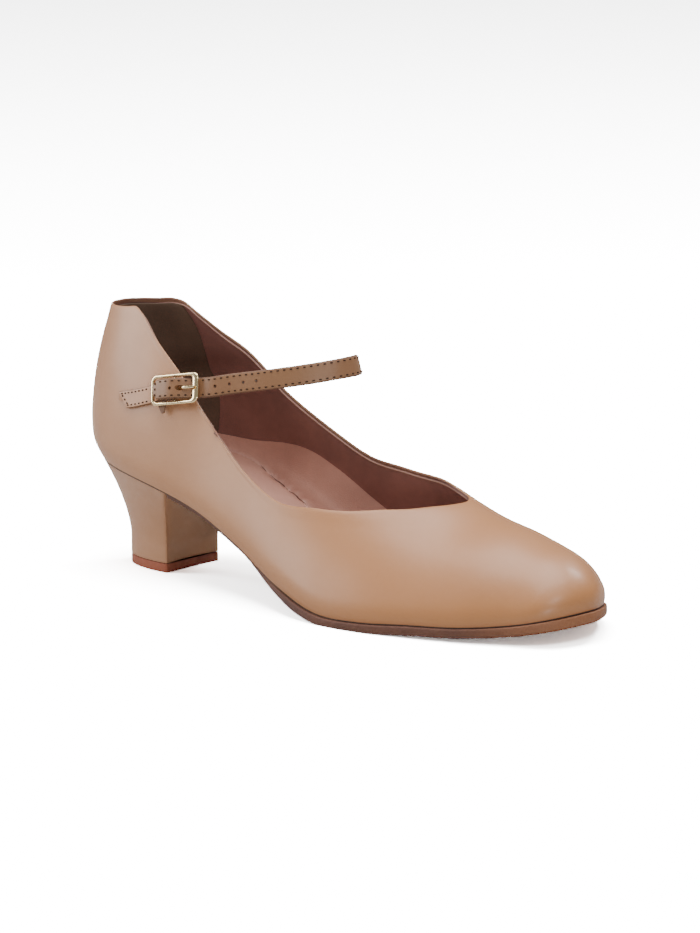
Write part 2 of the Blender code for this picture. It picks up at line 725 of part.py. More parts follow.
def build_tab(material, collection, cutters):
    """The short tab sewn to the outer quarter. It loops round the middle bar, slotted there for
    the prong."""
    axes = buckle_axes()
    lift = CLEARANCE + TAB_THICKNESS / 2
    on_quarter = [seat_on_upper(row, OUTER, lift) for row in TAB_ON_QUARTER]
    path = [seat[0] for seat in on_quarter]
    low = lift - BUCKLE_STAND_OFF
    path += [axes @ Vector((in_buckle(along), 0, low)) for along in TAB_TO_LOOP]
    radius = LOOP_RADIUS - TAB_THICKNESS / 2
    for turn in np.linspace(TAB_LOOP_START, TAB_LOOP_END, 7):
        along = BAR_FROM_END + radius * math.cos(turn)
        out = radius * math.sin(turn) - BAR_DROP
        path.append(axes @ Vector((along, 0, out)))
    centres = resample(path, TAB_STEPS)
    across = axes.to_3x3() @ Vector((0, 1, 0))
    ups = [across] * len(centres)
    widths = [TAB_WIDTH] * len(centres)
    tab = band_solid("buckle_tab", centres, ups, widths, TAB_THICKNESS, material, collection)
    size = (PRONG_SLOT_LENGTH, PRONG_SLEEVE_WIDTH + 2 * PRONG_ROOM, CUTTER_REACH)
    centre = (BAR_FROM_END - PRONG_SLOT_BEHIND + PRONG_SLOT_LENGTH / 2, 0, 0)
    slot = box_cutter("prong_slot", axes, centre, size, cutters)
    boolean(tab, slot, "DIFFERENCE", "Prong slot")
    end = on_quarter[0]
    slant = math.atan2(TAB_SLANT, TAB_WIDTH)
    corner = Matrix.Translation(end[0]) @ axes.to_3x3().to_4x4()
    corner = corner @ Matrix.Rotation(slant, 4, "Z")
    size = (CUTTER_REACH, 2 * CUTTER_REACH, CUTTER_REACH)
    centre = ((TAB_SLANT - CUTTER_REACH) / 2, 0, 0)
    trim = box_cutter("tab_end", corner, centre, size, cutters)
    boolean(tab, trim, "DIFFERENCE", "Slanted end")
    return tab


def rounded_rectangle(left, right, half_height, corner):
    """Corner points round a rectangle, anticlockwise from its lower right."""
    found = []
    for centre_x, centre_y, start in (
        (right - corner, -half_height + corner, -90),
        (right - corner, half_height - corner, 0),
        (left + corner, half_height - corner, 90),
        (left + corner, -half_height + corner, 180),
    ):
        for step in range(CORNER_STEPS + 1):
            turn = math.radians(start + 90 * step / CORNER_STEPS)
            found.append((centre_x + corner * math.cos(turn), centre_y + corner * math.sin(turn)))
    return found


def build_buckle_frame(material, collection, cutters):
    """A rounded frame with a broad end bar, and the middle bar joined into its sides."""
    outer = rounded_rectangle(0, BUCKLE_LENGTH, BUCKLE_HEIGHT / 2, BUCKLE_CORNER)
    inner = rounded_rectangle(
        BUCKLE_WIRE,
        BUCKLE_LENGTH - BUCKLE_END_BAR,
        BUCKLE_HEIGHT / 2 - BUCKLE_WIRE,
        BUCKLE_CORNER - BUCKLE_WIRE,
    )
    deep = BUCKLE_WIRE / 2
    ease = BUCKLE_EDGE
    profile = []
    outer_in = rounded_rectangle(
        ease, BUCKLE_LENGTH - ease, BUCKLE_HEIGHT / 2 - ease, BUCKLE_CORNER - ease
    )
    inner_out = rounded_rectangle(
        BUCKLE_WIRE - ease,
        BUCKLE_LENGTH - BUCKLE_END_BAR + ease,
        BUCKLE_HEIGHT / 2 - BUCKLE_WIRE + ease,
        BUCKLE_CORNER - BUCKLE_WIRE + ease,
    )
    for outline, level in (
        (outer, -deep + ease),
        (outer, deep - ease),
        (outer_in, deep),
        (inner_out, deep),
        (inner, deep - ease),
        (inner, -deep + ease),
        (inner_out, -deep),
        (outer_in, -deep),
    ):
        profile.append([Vector((x, y, level)) for x, y in outline])
    axes = buckle_axes()
    count = len(outer)
    points = [axes @ point for ring in profile for point in ring]
    faces = []
    for ring in range(len(profile)):
        after_ring = (ring + 1) % len(profile)
        for index in range(count):
            beside = (index + 1) % count
            faces.append(
                (
                    ring * count + index,
                    ring * count + beside,
                    after_ring * count + beside,
                    after_ring * count + index,
                )
            )
    frame = make_piece("buckle_frame", points, faces, material, collection)
    bar = cylinder_across("middle_bar", axes, BAR_RADIUS, BUCKLE_HEIGHT - BUCKLE_WIRE, cutters)
    boolean(frame, bar, "UNION", "Middle bar")
    return frame


def cylinder_across(name, axes, radius, length, collection):
    """A helper rod across the strap on the middle bar's line."""
    mesh = bpy.data.meshes.new(name)
    shape = bmesh.new()
    bmesh.ops.create_cone(
        shape, cap_ends=True, segments=ROD_SIDES, radius1=radius, radius2=radius, depth=length
    )
    bmesh.ops.rotate(shape, matrix=Matrix.Rotation(math.pi / 2, 3, "X"), verts=shape.verts)
    bmesh.ops.translate(shape, vec=(BAR_FROM_END, 0, -BAR_DROP), verts=shape.verts)
    bmesh.ops.transform(shape, matrix=axes, verts=shape.verts)
    shape.to_mesh(mesh)
    shape.free()
    made = bpy.data.objects.new(name, mesh)
    made.display_type = "WIRE"
    made.hide_render = True
    collection.objects.link(made)
    return made


def build_prong(material, collection, cutters):
    """The prong: a sleeve round the middle bar and a wire that lies on the end bar."""
    axes = buckle_axes()
    curve = bpy.data.curves.new("buckle_prong", "CURVE")
    curve.dimensions = "3D"
    curve.bevel_depth = PRONG_RADIUS
    curve.bevel_resolution = 2
    curve.use_fill_caps = True
    spline = curve.splines.new("POLY")
    rows = [(in_buckle(row.along), 0, row.out * (ON_FRAME + BAR_DROP) - BAR_DROP) for row in PRONG_PATH]
    path = resample(rows, PRONG_STEPS)
    spline.points.add(len(path) - 1)
    for point, place in zip(spline.points, path):
        point.co = (*(axes @ place), 1)
    wire = bpy.data.objects.new("prong_wire", curve)
    collection.objects.link(wire)
    bpy.context.view_layer.update()
    graph = bpy.context.evaluated_depsgraph_get()
    mesh = bpy.data.meshes.new_from_object(wire.evaluated_get(graph))
    bpy.data.objects.remove(wire)
    shape = bmesh.new()
    shape.from_mesh(mesh)
    bmesh.ops.remove_doubles(shape, verts=shape.verts, dist=WELD_DISTANCE)
    shape.to_mesh(mesh)
    shape.free()
    mesh.name = "buckle_prong"
    mesh.materials.clear()
    mesh.materials.append(material)
    prong = bpy.data.objects.new("buckle_prong", mesh)
    collection.objects.link(prong)
    bore = BAR_RADIUS + CLEARANCE
    sleeve = cylinder_across("sleeve", axes, bore + PRONG_SLEEVE_WALL, PRONG_SLEEVE_WIDTH, cutters)
    boolean(prong, sleeve, "UNION", "Sleeve")
    hole = cylinder_across("sleeve_bore", axes, bore, PRONG_SLEEVE_WIDTH * 2, cutters)
    boolean(prong, hole, "DIFFERENCE", "Sleeve bore")
    return prong


def build():
    clear_scene()
    shoe = collection_named("character_shoe")
    cutters = collection_named("cutters", hidden=True)
    upper_leather = make_material("upper_leather", (0.55, 0.34, 0.22), 0.35)
    strap_leather = make_material("strap_leather", (0.53, 0.32, 0.20), 0.40)
    sock = make_material("insole_sock", (0.45, 0.23, 0.17), 0.60)
    sole_leather = make_material("sole_leather", (0.30, 0.13, 0.07), 0.55)
    heel_leather = make_material("heel_leather", (0.52, 0.31, 0.19), 0.35)
    lift = make_material("lift", (0.36, 0.12, 0.07), 0.60)
    brass = make_material("buckle_metal", (0.80, 0.66, 0.38), 0.20, 1.0)
    made = [
        build_upper(upper_leather, shoe),
        build_insole(sock, shoe),
        build_outsole(sole_leather, shoe),
        build_heel(heel_leather, shoe),
        build_top_lift(lift, shoe),
        build_strap(strap_leather, shoe, cutters),
        build_tab(strap_leather, shoe, cutters),
        build_buckle_frame(brass, shoe, cutters),
        build_prong(brass, shoe, cutters),
    ]
    shift = Matrix.Translation(Vector(-ORIGIN))
    for thing in made + list(cutters.objects):
        thing.data.transform(shift)


build()
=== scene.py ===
import math
from collections import namedtuple

import bmesh
import bpy
import numpy as np
from mathutils import Matrix, Vector


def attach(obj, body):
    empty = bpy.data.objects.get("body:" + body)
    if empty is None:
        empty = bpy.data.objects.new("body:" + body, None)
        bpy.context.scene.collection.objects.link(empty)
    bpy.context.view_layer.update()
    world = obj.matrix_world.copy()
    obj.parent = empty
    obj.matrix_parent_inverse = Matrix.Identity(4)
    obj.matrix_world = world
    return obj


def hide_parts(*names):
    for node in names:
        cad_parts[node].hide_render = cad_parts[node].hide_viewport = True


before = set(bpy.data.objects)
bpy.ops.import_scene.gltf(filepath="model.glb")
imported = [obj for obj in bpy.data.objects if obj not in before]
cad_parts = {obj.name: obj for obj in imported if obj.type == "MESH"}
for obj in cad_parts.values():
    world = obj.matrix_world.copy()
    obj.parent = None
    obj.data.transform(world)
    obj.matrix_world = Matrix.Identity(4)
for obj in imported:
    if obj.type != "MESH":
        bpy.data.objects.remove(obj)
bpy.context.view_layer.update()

# Outer leather
# One piece of tan leather with a smooth, half-gloss finish, drawn over the last and folded in at
# the topline. It is the last's own form, so the last's sizes and sections come first.
FOOT_LENGTH = 0.2335
BALL_WIDTH = 0.078
HEEL_RISE = 0.0406  # feather line over the floor at the back
TOE_SPRING = 0.0079
INSTEP_RISE = 0.0581  # ridge over the feather line at the instep
BACK_ROUND = 0.0460  # length of the rounded back, seen from above
BACK_FULLNESS = 2.36
TOE_ROUND = 0.0287  # length of the rounded toe, seen from above
TOE_FULLNESS = 2.06
TOE_BOX = 0.0226  # length over which the ridge falls to the toe
TOE_BOX_FULLNESS = 2.26
SIDE_FULLNESS = 1.49
RIDGE_FULLNESS = 2.00
RIDGE_LEAN_START = 1.6
FEATHER_TUCK = 0.0014  # how far the upper turns in under the last at the feather line
FEATHER_TUCK_RISE = 0.008
FEATHER_TUCK_FADE = 0.012  # half width below which the tuck gets smaller
TOE_TUCK_LENGTH = 0.048
BACK_CURVE_REACH = 0.060
BACK_CURVE_FADE = 1.5
UPPER_WALL = 0.0016
CLEARANCE = 0.0003
BACK_RISE = 0.0560  # topline over the feather line at the back
THROAT_FROM_BACK = 0.1685
OUTSOLE_THICKNESS = 0.0032
STANDING_FLAT = 0.0002  # how much the ball's curve is cut flat where it stands
LIFT_BACK = 0.0145  # back of the top lift from the back of the shoe
LIFT_LENGTH = 0.0277
HEEL_INWARD = 0.0004  # the lift's middle line, to the inner side
SOLE_LINE = OUTSOLE_THICKNESS - STANDING_FLAT + CLEARANCE
ORIGIN = np.array((LIFT_BACK + LIFT_LENGTH / 2, HEEL_INWARD, 0.0))
OUTER = -1
INNER = 1

# One row for each section across the last. along: share of the foot length. outer and inner:
# half widths as shares of the ball width. seat: share of the heel's rise. spring: share of the
# toe spring. ridge: share of the instep's rise.
Section = namedtuple("Section", "along outer inner seat spring ridge")
SECTIONS = [Section(*row) for row in (
    (0.00, 0.333, 0.348, 1.000, 0.00, 1.239), (0.10, 0.339, 0.362, 0.954, 0.00, 1.239),
    (0.20, 0.355, 0.376, 0.862, 0.00, 1.196), (0.30, 0.367, 0.365, 0.700, 0.00, 1.057),
    (0.40, 0.408, 0.349, 0.450, 0.00, 1.000), (0.50, 0.478, 0.371, 0.181, 0.00, 0.927),
    (0.60, 0.529, 0.428, 0.007, 0.00, 0.824), (0.68, 0.523, 0.470, 0.000, 0.00, 0.695),
    (0.76, 0.474, 0.469, 0.000, 0.14, 0.566), (0.84, 0.406, 0.431, 0.000, 0.24, 0.498),
    (0.92, 0.326, 0.395, 0.000, 0.50, 0.382), (1.00, 0.385, 0.270, 0.000, 1.00, 0.276),
)]

# How far the ridge lies to the inner side of the middle line, as shares of the ball width.
RidgeLean = namedtuple("RidgeLean", "along inward")
RIDGE_LEANS = [RidgeLean(*row) for row in (
    (0.00, 0.0), (0.30, 0.060), (0.50, 0.064), (0.65, 0.102), (0.85, 0.051), (1.00, 0.0),
)]

# The curve of the back, seen from the side. Both are shares of the back's rise.
BackPoint = namedtuple("BackPoint", "rise forward")
BACK_CURVE = [BackPoint(*row) for row in (
    (0.000, 0.109), (0.107, 0.033), (0.250, 0.000), (0.393, 0.000),
    (0.607, 0.023), (0.821, 0.070), (1.036, 0.135), (1.250, 0.211),
)]

# The topline. along: share of the way to the throat, where it meets the ridge. outer and inner:
# shares of the back's rise.
Topline = namedtuple("Topline", "along outer inner")
TOPLINE = [Topline(*row) for row in (
    (0.000, 1.003, 1.004), (0.059, 1.013, 1.015), (0.107, 1.036, 1.031), (0.134, 1.050, 1.020),
    (0.161, 1.024, 0.972), (0.226, 0.918, 0.875), (0.308, 0.793, 0.804), (0.415, 0.594, 0.653),
    (0.534, 0.471, 0.621), (0.653, 0.468, 0.627), (0.771, 0.574, 0.702), (0.889, 0.637, 0.728),
    (0.934, 0.641, 0.702), (0.972, 0.648, 0.664),
)]


def column(rows, name):
    return np.array([getattr(row, name) for row in rows])


def smooth(at, stations, values):
    """A smooth curve through the values at the stations, read at other places."""
    slopes = np.gradient(values, stations)
    index = np.clip(np.searchsorted(stations, at, side="right") - 1, 0, len(stations) - 2)
    step = stations[index + 1] - stations[index]
    t = np.clip((at - stations[index]) / step, 0, 1)
    start = (1 + 2 * t) * (1 - t) ** 2 * values[index]
    end = t * t * (3 - 2 * t) * values[index + 1]
    leave = t * (1 - t) ** 2 * step * slopes[index]
    arrive = t * t * (t - 1) * step * slopes[index + 1]
    return start + end + leave + arrive


def section_value(x, name):
    return smooth(x / FOOT_LENGTH, column(SECTIONS, "along"), column(SECTIONS, name))


def rounded_end(past, fullness):
    """1 along the body of the form, falling to 0 where past reaches 1."""
    return np.maximum(1 - np.clip(past, 0, 1) ** fullness, 0) ** (1 / fullness)


def feather_height(x):
    seat = (HEEL_RISE - SOLE_LINE) * section_value(x, "seat")
    return SOLE_LINE + seat + TOE_SPRING * section_value(x, "spring")


def ridge_rise(x):
    toe = rounded_end(1 - (FOOT_LENGTH - x) / TOE_BOX, TOE_BOX_FULLNESS)
    return INSTEP_RISE * section_value(x, "ridge") * toe


def half_width(x, side):
    back = rounded_end(1 - x / BACK_ROUND, BACK_FULLNESS)
    toe = rounded_end(1 - (FOOT_LENGTH - x) / TOE_ROUND, TOE_FULLNESS)
    return BALL_WIDTH * section_value(x, "outer" if side == OUTER else "inner") * back * toe


RIDGE_X = np.linspace(0, FOOT_LENGTH, 1201)
RIDGE_RISES = np.minimum.accumulate(ridge_rise(RIDGE_X))


def front_at(rise):
    """How far forward the last reaches at a rise over the feather line."""
    return np.interp(-rise, -RIDGE_RISES, RIDGE_X)


def on_last(x, rise, side):
    """Points on the last's surface, as an array of rows, from the back of the shoe."""
    x, rise = np.broadcast_arrays(np.asarray(x, float), np.asarray(rise, float))
    width = half_width(x, side)
    share = np.clip(rise / np.maximum(ridge_rise(x), 1e-9), 0, 1)
    out = width * np.maximum(1 - share**SIDE_FULLNESS, 0) ** (1 / RIDGE_FULLNESS)
    tuck = FEATHER_TUCK * np.clip(1 - rise / FEATHER_TUCK_RISE, 0, 1) ** 2
    out = out * (1 - tuck / np.maximum(width, FEATHER_TUCK_FADE))
    lean = smooth(x / FOOT_LENGTH, column(RIDGE_LEANS, "along"), column(RIDGE_LEANS, "inward"))
    lean = lean * BALL_WIDTH
    back = smooth(rise / BACK_RISE, column(BACK_CURVE, "rise"), column(BACK_CURVE, "forward"))
    back = back * BACK_RISE * np.clip(1 - x / BACK_CURVE_REACH, 0, 1) ** BACK_CURVE_FADE
    toe = tuck * np.clip(1 - (FOOT_LENGTH - x) / TOE_TUCK_LENGTH, 0, 1) ** 2
    y = side * out + lean * share**RIDGE_LEAN_START
    return np.stack([x + back - toe, y, feather_height(x) + rise], axis=-1)


def even_shares(count):
    """Shares from back to toe, closer together at the two rounded ends."""
    return (1 - np.cos(np.pi * np.linspace(0, 1, count))) / 2


def topline_rise(x, side):
    """The topline's rise over the feather line. At the throat it meets the ridge."""
    along = np.append(column(TOPLINE, "along"), 1.0)
    rises = BACK_RISE * column(TOPLINE, "outer" if side == OUTER else "inner")
    rises = np.append(rises, ridge_rise(np.array(THROAT_FROM_BACK)))
    return smooth(x / THROAT_FROM_BACK, along, rises)


LEATHER_THICKNESS = 0.0009
LEATHER_COLUMNS = 150
LEATHER_ROWS = 44
INSIDE_ROW_STEP = 3  # the hidden inside takes every third row
ROLL_STEPS = 6
LEATHER_COLOR = (0.425, 0.212, 0.108)
LEATHER_SHADE = (0.380, 0.180, 0.086)
# The vamp's colour: painted shade that the upper turns to towards the toe.
VAMP_PAINTED_SHADE = (0.365, 0.150, 0.050)
TURNED_PAINTED_SHADE = (0.190, 0.085, 0.045)
TURNED_PAINTED_SHADE_DARK = (0.130, 0.055, 0.030)
FOLD_WIDTH = 0.0030
FOLD_LIFT = 0.00022
MEDIUM_PORES = 1500.0
CLOUD_RANGE = (0.25, 0.60)
GRAIN_STRENGTH = 0.6
SHARP_ANGLE = math.radians(50)


def ring_of_columns(columns, rows):
    """The outer surface as rings from feather to topline, each round the shoe and back again."""
    sides = []
    for side in (OUTER, INNER):
        shares = even_shares(columns)
        top_x = shares * THROAT_FROM_BACK
        top_rise = topline_rise(top_x, side)
        top_share = np.minimum(1, top_x / front_at(top_rise))
        top_share[-1] = 1
        up = np.linspace(0, 1, rows)[None, :]
        share = (1 - up) * shares[:, None] + up * top_share[:, None]
        rise = up * top_rise[:, None]
        sides.append(on_last(share * front_at(rise), rise, side))
    around = np.concatenate([sides[0], sides[1][-2:0:-1]])
    return np.swapaxes(around, 0, 1)


def outward_of(rings):
    """Unit outward and upward directions at each point of the rings."""
    around = np.roll(rings, -1, axis=1) - np.roll(rings, 1, axis=1)
    up = np.gradient(rings, axis=0)
    out = np.cross(around, up)
    out /= np.maximum(np.linalg.norm(out, axis=2, keepdims=True), 1e-12)
    up /= np.maximum(np.linalg.norm(up, axis=2, keepdims=True), 1e-12)
    return out, up


def shaped_grid(name, rows, material, wrap_rows=False, wrap_columns=False):
    """A grid shaped to rows of points, closed on itself where its edges meet."""
    if wrap_columns:
        rows = np.concatenate([rows, rows[:, :1]], axis=1)
    if wrap_rows:
        rows = np.concatenate([rows, rows[:1]], axis=0)
    rows = rows - ORIGIN
    down, along = rows.shape[0] - 1, rows.shape[1] - 1
    shape = bmesh.new()
    shape.loops.layers.uv.new("surface")
    bmesh.ops.create_grid(shape, x_segments=along, y_segments=down, size=1, calc_uvs=True)
    for vert in shape.verts:
        row = round((vert.co.y + 1) / 2 * down)
        place = round((vert.co.x + 1) / 2 * along)
        vert.co = rows[row, place]
    bmesh.ops.remove_doubles(shape, verts=shape.verts, dist=1e-6)
    return finished(name, shape, material)


def linked(name, data):
    """A new object in the scene."""
    made = bpy.data.objects.new(name, data)
    bpy.context.scene.collection.objects.link(made)
    return made


def finished(name, shape, material):
    """The mesh as an object of the shoe, facing out, smooth, with its material and slot."""
    bmesh.ops.dissolve_degenerate(shape, edges=shape.edges, dist=1e-7)
    if all(edge.is_manifold for edge in shape.edges) and shape.calc_volume(signed=True) < 0:
        bmesh.ops.reverse_faces(shape, faces=shape.faces)
    mesh = bpy.data.meshes.new(name)
    shape.to_mesh(mesh)
    shape.free()
    mesh.materials.append(material)
    mesh.shade_smooth()
    mesh.set_sharp_from_angle(angle=SHARP_ANGLE)
    made = linked(name, mesh)
    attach(made, "root")
    return made


def new_material(name):
    """A material with its node tree, its shader and the places of its points."""
    material = bpy.data.materials.new(name)
    material.use_nodes = True
    tree = material.node_tree
    place = tree.nodes.new("ShaderNodeTexCoord").outputs["Object"]
    return material, tree, tree.nodes["Principled BSDF"], place


def ranged(tree, value, **ends):
    """The value moved from one range to another. The ends that aren't named are 0 and 1."""
    node = tree.nodes.new("ShaderNodeMapRange")
    for end, number in ends.items():
        node.inputs[end.replace("_", " ").title()].default_value = number
    tree.links.new(value, node.inputs["Value"])
    return node.outputs["Result"]


def tinted(tree, shader, share, first, second):
    """The shader's colour, going from the first to the second where the share goes to 1."""
    node = tree.nodes.new("ShaderNodeMix")
    node.data_type = "RGBA"
    tree.links.new(share, node.inputs["Factor"])
    for socket, color in (("A", first), ("B", second)):
        if isinstance(color, tuple):
            node.inputs[socket].default_value = (*color, 1)
        else:
            tree.links.new(color, node.inputs[socket])
    tree.links.new(node.outputs["Result"], shader.inputs["Base Color"])


def bumped(tree, shader, height, strength, distance):
    node = tree.nodes.new("ShaderNodeBump")
    node.inputs["Strength"].default_value = strength
    node.inputs["Distance"].default_value = distance
    tree.links.new(height, node.inputs["Height"])
    tree.links.new(node.outputs["Normal"], shader.inputs["Normal"])


def math_node(tree, operation, first, second):
    node = tree.nodes.new("ShaderNodeMath")
    node.operation = operation
    for socket, value in ((node.inputs[0], first), (node.inputs[1], second)):
        if isinstance(value, (int, float)):
            socket.default_value = value
        else:
            tree.links.new(value, socket)
    return node.outputs[0]


def noise_node(tree, vector, scale, detail=2.0, roughness=0.5):
    node = tree.nodes.new("ShaderNodeTexNoise")
    node.inputs["Scale"].default_value = scale
    node.inputs["Detail"].default_value = detail
    node.inputs["Roughness"].default_value = roughness
    tree.links.new(vector, node.inputs["Vector"])
    return node.outputs["Fac"]


def leather_grain():
    """Fine pores and creases as a height, soft cloudy unevenness as a mask from 0 to 1."""
    group = bpy.data.node_groups.new("leather_grain", "ShaderNodeTree")
    for way, label, kind in (
        ("INPUT", "Vector", "Vector"), ("INPUT", "Pores", "Float"),
        ("OUTPUT", "Height", "Float"), ("OUTPUT", "Clouds", "Float"),
    ):
        group.interface.new_socket(label, in_out=way, socket_type="NodeSocket" + kind)
    given, result = group.nodes.new("NodeGroupInput"), group.nodes.new("NodeGroupOutput")
    pores = group.nodes.new("ShaderNodeTexVoronoi")
    pores.feature = "DISTANCE_TO_EDGE"
    group.links.new(given.outputs["Vector"], pores.inputs["Vector"])
    group.links.new(given.outputs["Pores"], pores.inputs["Scale"])
    cells = math_node(group, "MINIMUM", pores.outputs["Distance"], 0.18)
    fine = noise_node(group, given.outputs["Vector"], 900.0, 4.0, 0.6)
    height = math_node(group, "ADD", math_node(group, "MULTIPLY", cells, 2.4), fine)
    group.links.new(height, result.inputs["Height"])
    clouds = noise_node(group, given.outputs["Vector"], 34.0, 3.0, 0.55)
    group.links.new(clouds, result.inputs["Clouds"])
    return group


GRAIN = leather_grain()


def leather(name, color, shade, roughness, pores=2400.0, relief=0.00004, coat=0.0, coat_rough=0.3):
    """A leather: grain as bump, clouds as a slight change of colour and gloss."""
    material, tree, shader, place = new_material(name)
    grain = tree.nodes.new("ShaderNodeGroup")
    grain.node_tree = GRAIN
    grain.inputs["Pores"].default_value = pores
    tree.links.new(place, grain.inputs["Vector"])
    clouds = grain.outputs["Clouds"]
    spread = ranged(tree, clouds, from_min=CLOUD_RANGE[0], from_max=CLOUD_RANGE[1])
    tinted(tree, shader, spread, shade, color)
    gloss = ranged(tree, clouds, to_min=roughness + 0.05, to_max=roughness - 0.04)
    tree.links.new(gloss, shader.inputs["Roughness"])
    bumped(tree, shader, grain.outputs["Height"], GRAIN_STRENGTH, relief)
    shader.inputs["Coat Weight"].default_value = coat
    shader.inputs["Coat Roughness"].default_value = coat_rough
    return material


def toward_toe(material, color, start, end, strength):
    """The material turns to another colour towards the toe, unevenly."""
    tree = material.node_tree
    shader = tree.nodes["Principled BSDF"]
    plain = shader.inputs["Base Color"].links[0].from_socket
    place = tree.nodes.new("ShaderNodeTexCoord").outputs["Object"]
    apart = tree.nodes.new("ShaderNodeSeparateXYZ")
    tree.links.new(place, apart.inputs["Vector"])
    toe = ranged(tree, apart.outputs["X"], from_min=start, from_max=end)
    toe = math_node(tree, "MULTIPLY", toe, strength)
    patches = math_node(tree, "MULTIPLY", noise_node(tree, place, 420.0, 3.0, 0.6), 0.12)
    tinted(tree, shader, math_node(tree, "ADD", toe, patches), plain, color)


def rolled_over(centre, radius, steps):
    """Rings that turn over the topline from the outside of the leather to its inside."""
    turns = [math.pi * step / steps for step in range(steps + 1)]
    return [centre + (out[-1] * math.cos(turn) + up[-1] * math.sin(turn)) * radius for turn in turns]


tan_leather = leather("tan_leather", LEATHER_COLOR, LEATHER_SHADE, 0.44, coat=0.15, coat_rough=0.22)
# The tan leather turns darker and more saturated towards the toe: painted shade, standing in for the
# side light that leaves the quarter paler.
toward_toe(tan_leather, VAMP_PAINTED_SHADE, 0.0, 0.13, 0.85)
# The rows turned in over the topline take a much darker copy of the leather: painted shade inside the
# fold.
turned_painted_shade = leather("turned_edge_painted_shade", TURNED_PAINTED_SHADE, TURNED_PAINTED_SHADE_DARK, 0.62, pores=MEDIUM_PORES)
rings = ring_of_columns(LEATHER_COLUMNS, LEATHER_ROWS)
out, up = outward_of(rings)
below_top = (rings[-1] - rings)[:, :, 2]
fold = np.clip(1.5 - below_top / FOLD_WIDTH, 0, 1)
rings = rings + out * (FOLD_LIFT * fold * fold * (3 - 2 * fold))[:, :, None]
half = LEATHER_THICKNESS / 2
top = rings[-1] - out[-1] * half - up[-1] * half
wall = [*rings[:-1], *rolled_over(top, half, ROLL_STEPS)]
for row in range(LEATHER_ROWS - 3, -1, -INSIDE_ROW_STEP):
    wall.append(rings[row] - out[row] * LEATHER_THICKNESS)
outer_leather = shaped_grid(
    "outer_leather", np.array(wall), tan_leather, wrap_rows=True, wrap_columns=True
)
outer_leather.data.materials.append(turned_painted_shade)
places = outer_leather.data.uv_layers[0].data
for face in outer_leather.data.polygons:
    row_place = sum(places[loop].uv.y for loop in face.loop_indices) / face.loop_total * len(wall)
    face.material_index = 1 if row_place > LEATHER_ROWS - 1 + ROLL_STEPS * 0.5 else 0

# Lining
# Thin rose-brown leather inside the quarters and vamp, its edge a little below the fold, with a
# darker olive-brown counter lining sewn over it round the heel.
LINING_GAP = 0.00005
LINING_THICKNESS = UPPER_WALL - LEATHER_THICKNESS - LINING_GAP
LINING_ROW_STEP = 2
LINING_ROLL_STEPS = 4
LINING_DROP = 0.0017
LINING_LIP = 0.00018
LINING_EDGE_HIGHLIGHT = (0.270, 0.140, 0.092)
TOPLINE_STITCH_PITCH = 0.0021
TOPLINE_STITCH_LENGTH = 0.0012
LINING_COLOR = (0.215, 0.092, 0.072)
LINING_SHADE = (0.145, 0.060, 0.047)
COUNTER_COLOR = (0.120, 0.070, 0.043)
COUNTER_SHADE = (0.062, 0.035, 0.022)
COUNTER_REACH = 0.034
COUNTER_THICKNESS = 0.00035
COUNTER_GAP = 0.00002
COUNTER_DROP = 0.0016
LINING_THREAD_RADIUS = 0.00013
LINING_THREAD_SIDES = 6
TOPLINE_STITCH_DROP = 0.0011  # below the lining's edge
TOPLINE_STITCH_STAND = 0.00006
COUNTER_STITCH_STAND = 0.0001
COUNTER_STITCH_FROM_EDGE = 0.0012
ROD_RINGS = 5
ROD_END = 0.35  # share of its radius left at a rod's ends
ROD_SINK = 0.9  # how far its ends go down, in radii
CORD_SIDES = 10


def lining_shell(inset, thickness, drop):
    """A closed thin shell inside the outer leather, rounded over at its top edge."""
    skin = rings - out * inset
    half = thickness / 2
    crown = skin[-1] - out[-1] * half - up[-1] * (half + drop)
    rows = [*skin[: LEATHER_ROWS - 1 : LINING_ROW_STEP], *rolled_over(crown, half, LINING_ROLL_STEPS)]
    for row in range(LEATHER_ROWS - 3, -1, -LINING_ROW_STEP):
        rows.append(skin[row] - out[row] * thickness)
    return np.array(rows)


rose_lining = leather(
    "rose_lining", LINING_COLOR, LINING_SHADE, 0.62, pores=MEDIUM_PORES, relief=0.00003
)
shell = lining_shell(LEATHER_THICKNESS + LINING_GAP, LINING_THICKNESS, LINING_DROP)
shaped_grid("lining", shell, rose_lining, wrap_rows=True, wrap_columns=True)
counter_leather = leather("counter_leather", COUNTER_COLOR, COUNTER_SHADE, 0.70, pores=1100.0)
counter_shell = lining_shell(UPPER_WALL + COUNTER_GAP, COUNTER_THICKNESS, COUNTER_DROP)
reach = int(np.searchsorted(rings[LEATHER_ROWS // 2, : LEATHER_COLUMNS - 1, 0], COUNTER_REACH))
counter_shell = np.concatenate([counter_shell[:, -reach:], counter_shell[:, : reach + 1]], axis=1)
shaped_grid("counter_lining", counter_shell, counter_leather, wrap_rows=True)


def thread_material(name, color):
    """Twisted thread: slanting turns as bump and as a change of its dull colour."""
    material, tree, shader, place = new_material(name)
    twist = tree.nodes.new("ShaderNodeTexWave")
    twist.bands_direction = "DIAGONAL"
    twist.inputs["Scale"].default_value = 900.0
    tree.links.new(place, twist.inputs["Vector"])
    tinted(tree, shader, twist.outputs["Fac"], tuple(value * 0.6 for value in color), color)
    bumped(tree, shader, twist.outputs["Fac"], 0.5, 0.00004)
    shader.inputs["Roughness"].default_value = 0.85
    shader.inputs["Specular IOR Level"].default_value = 0.15
    return material


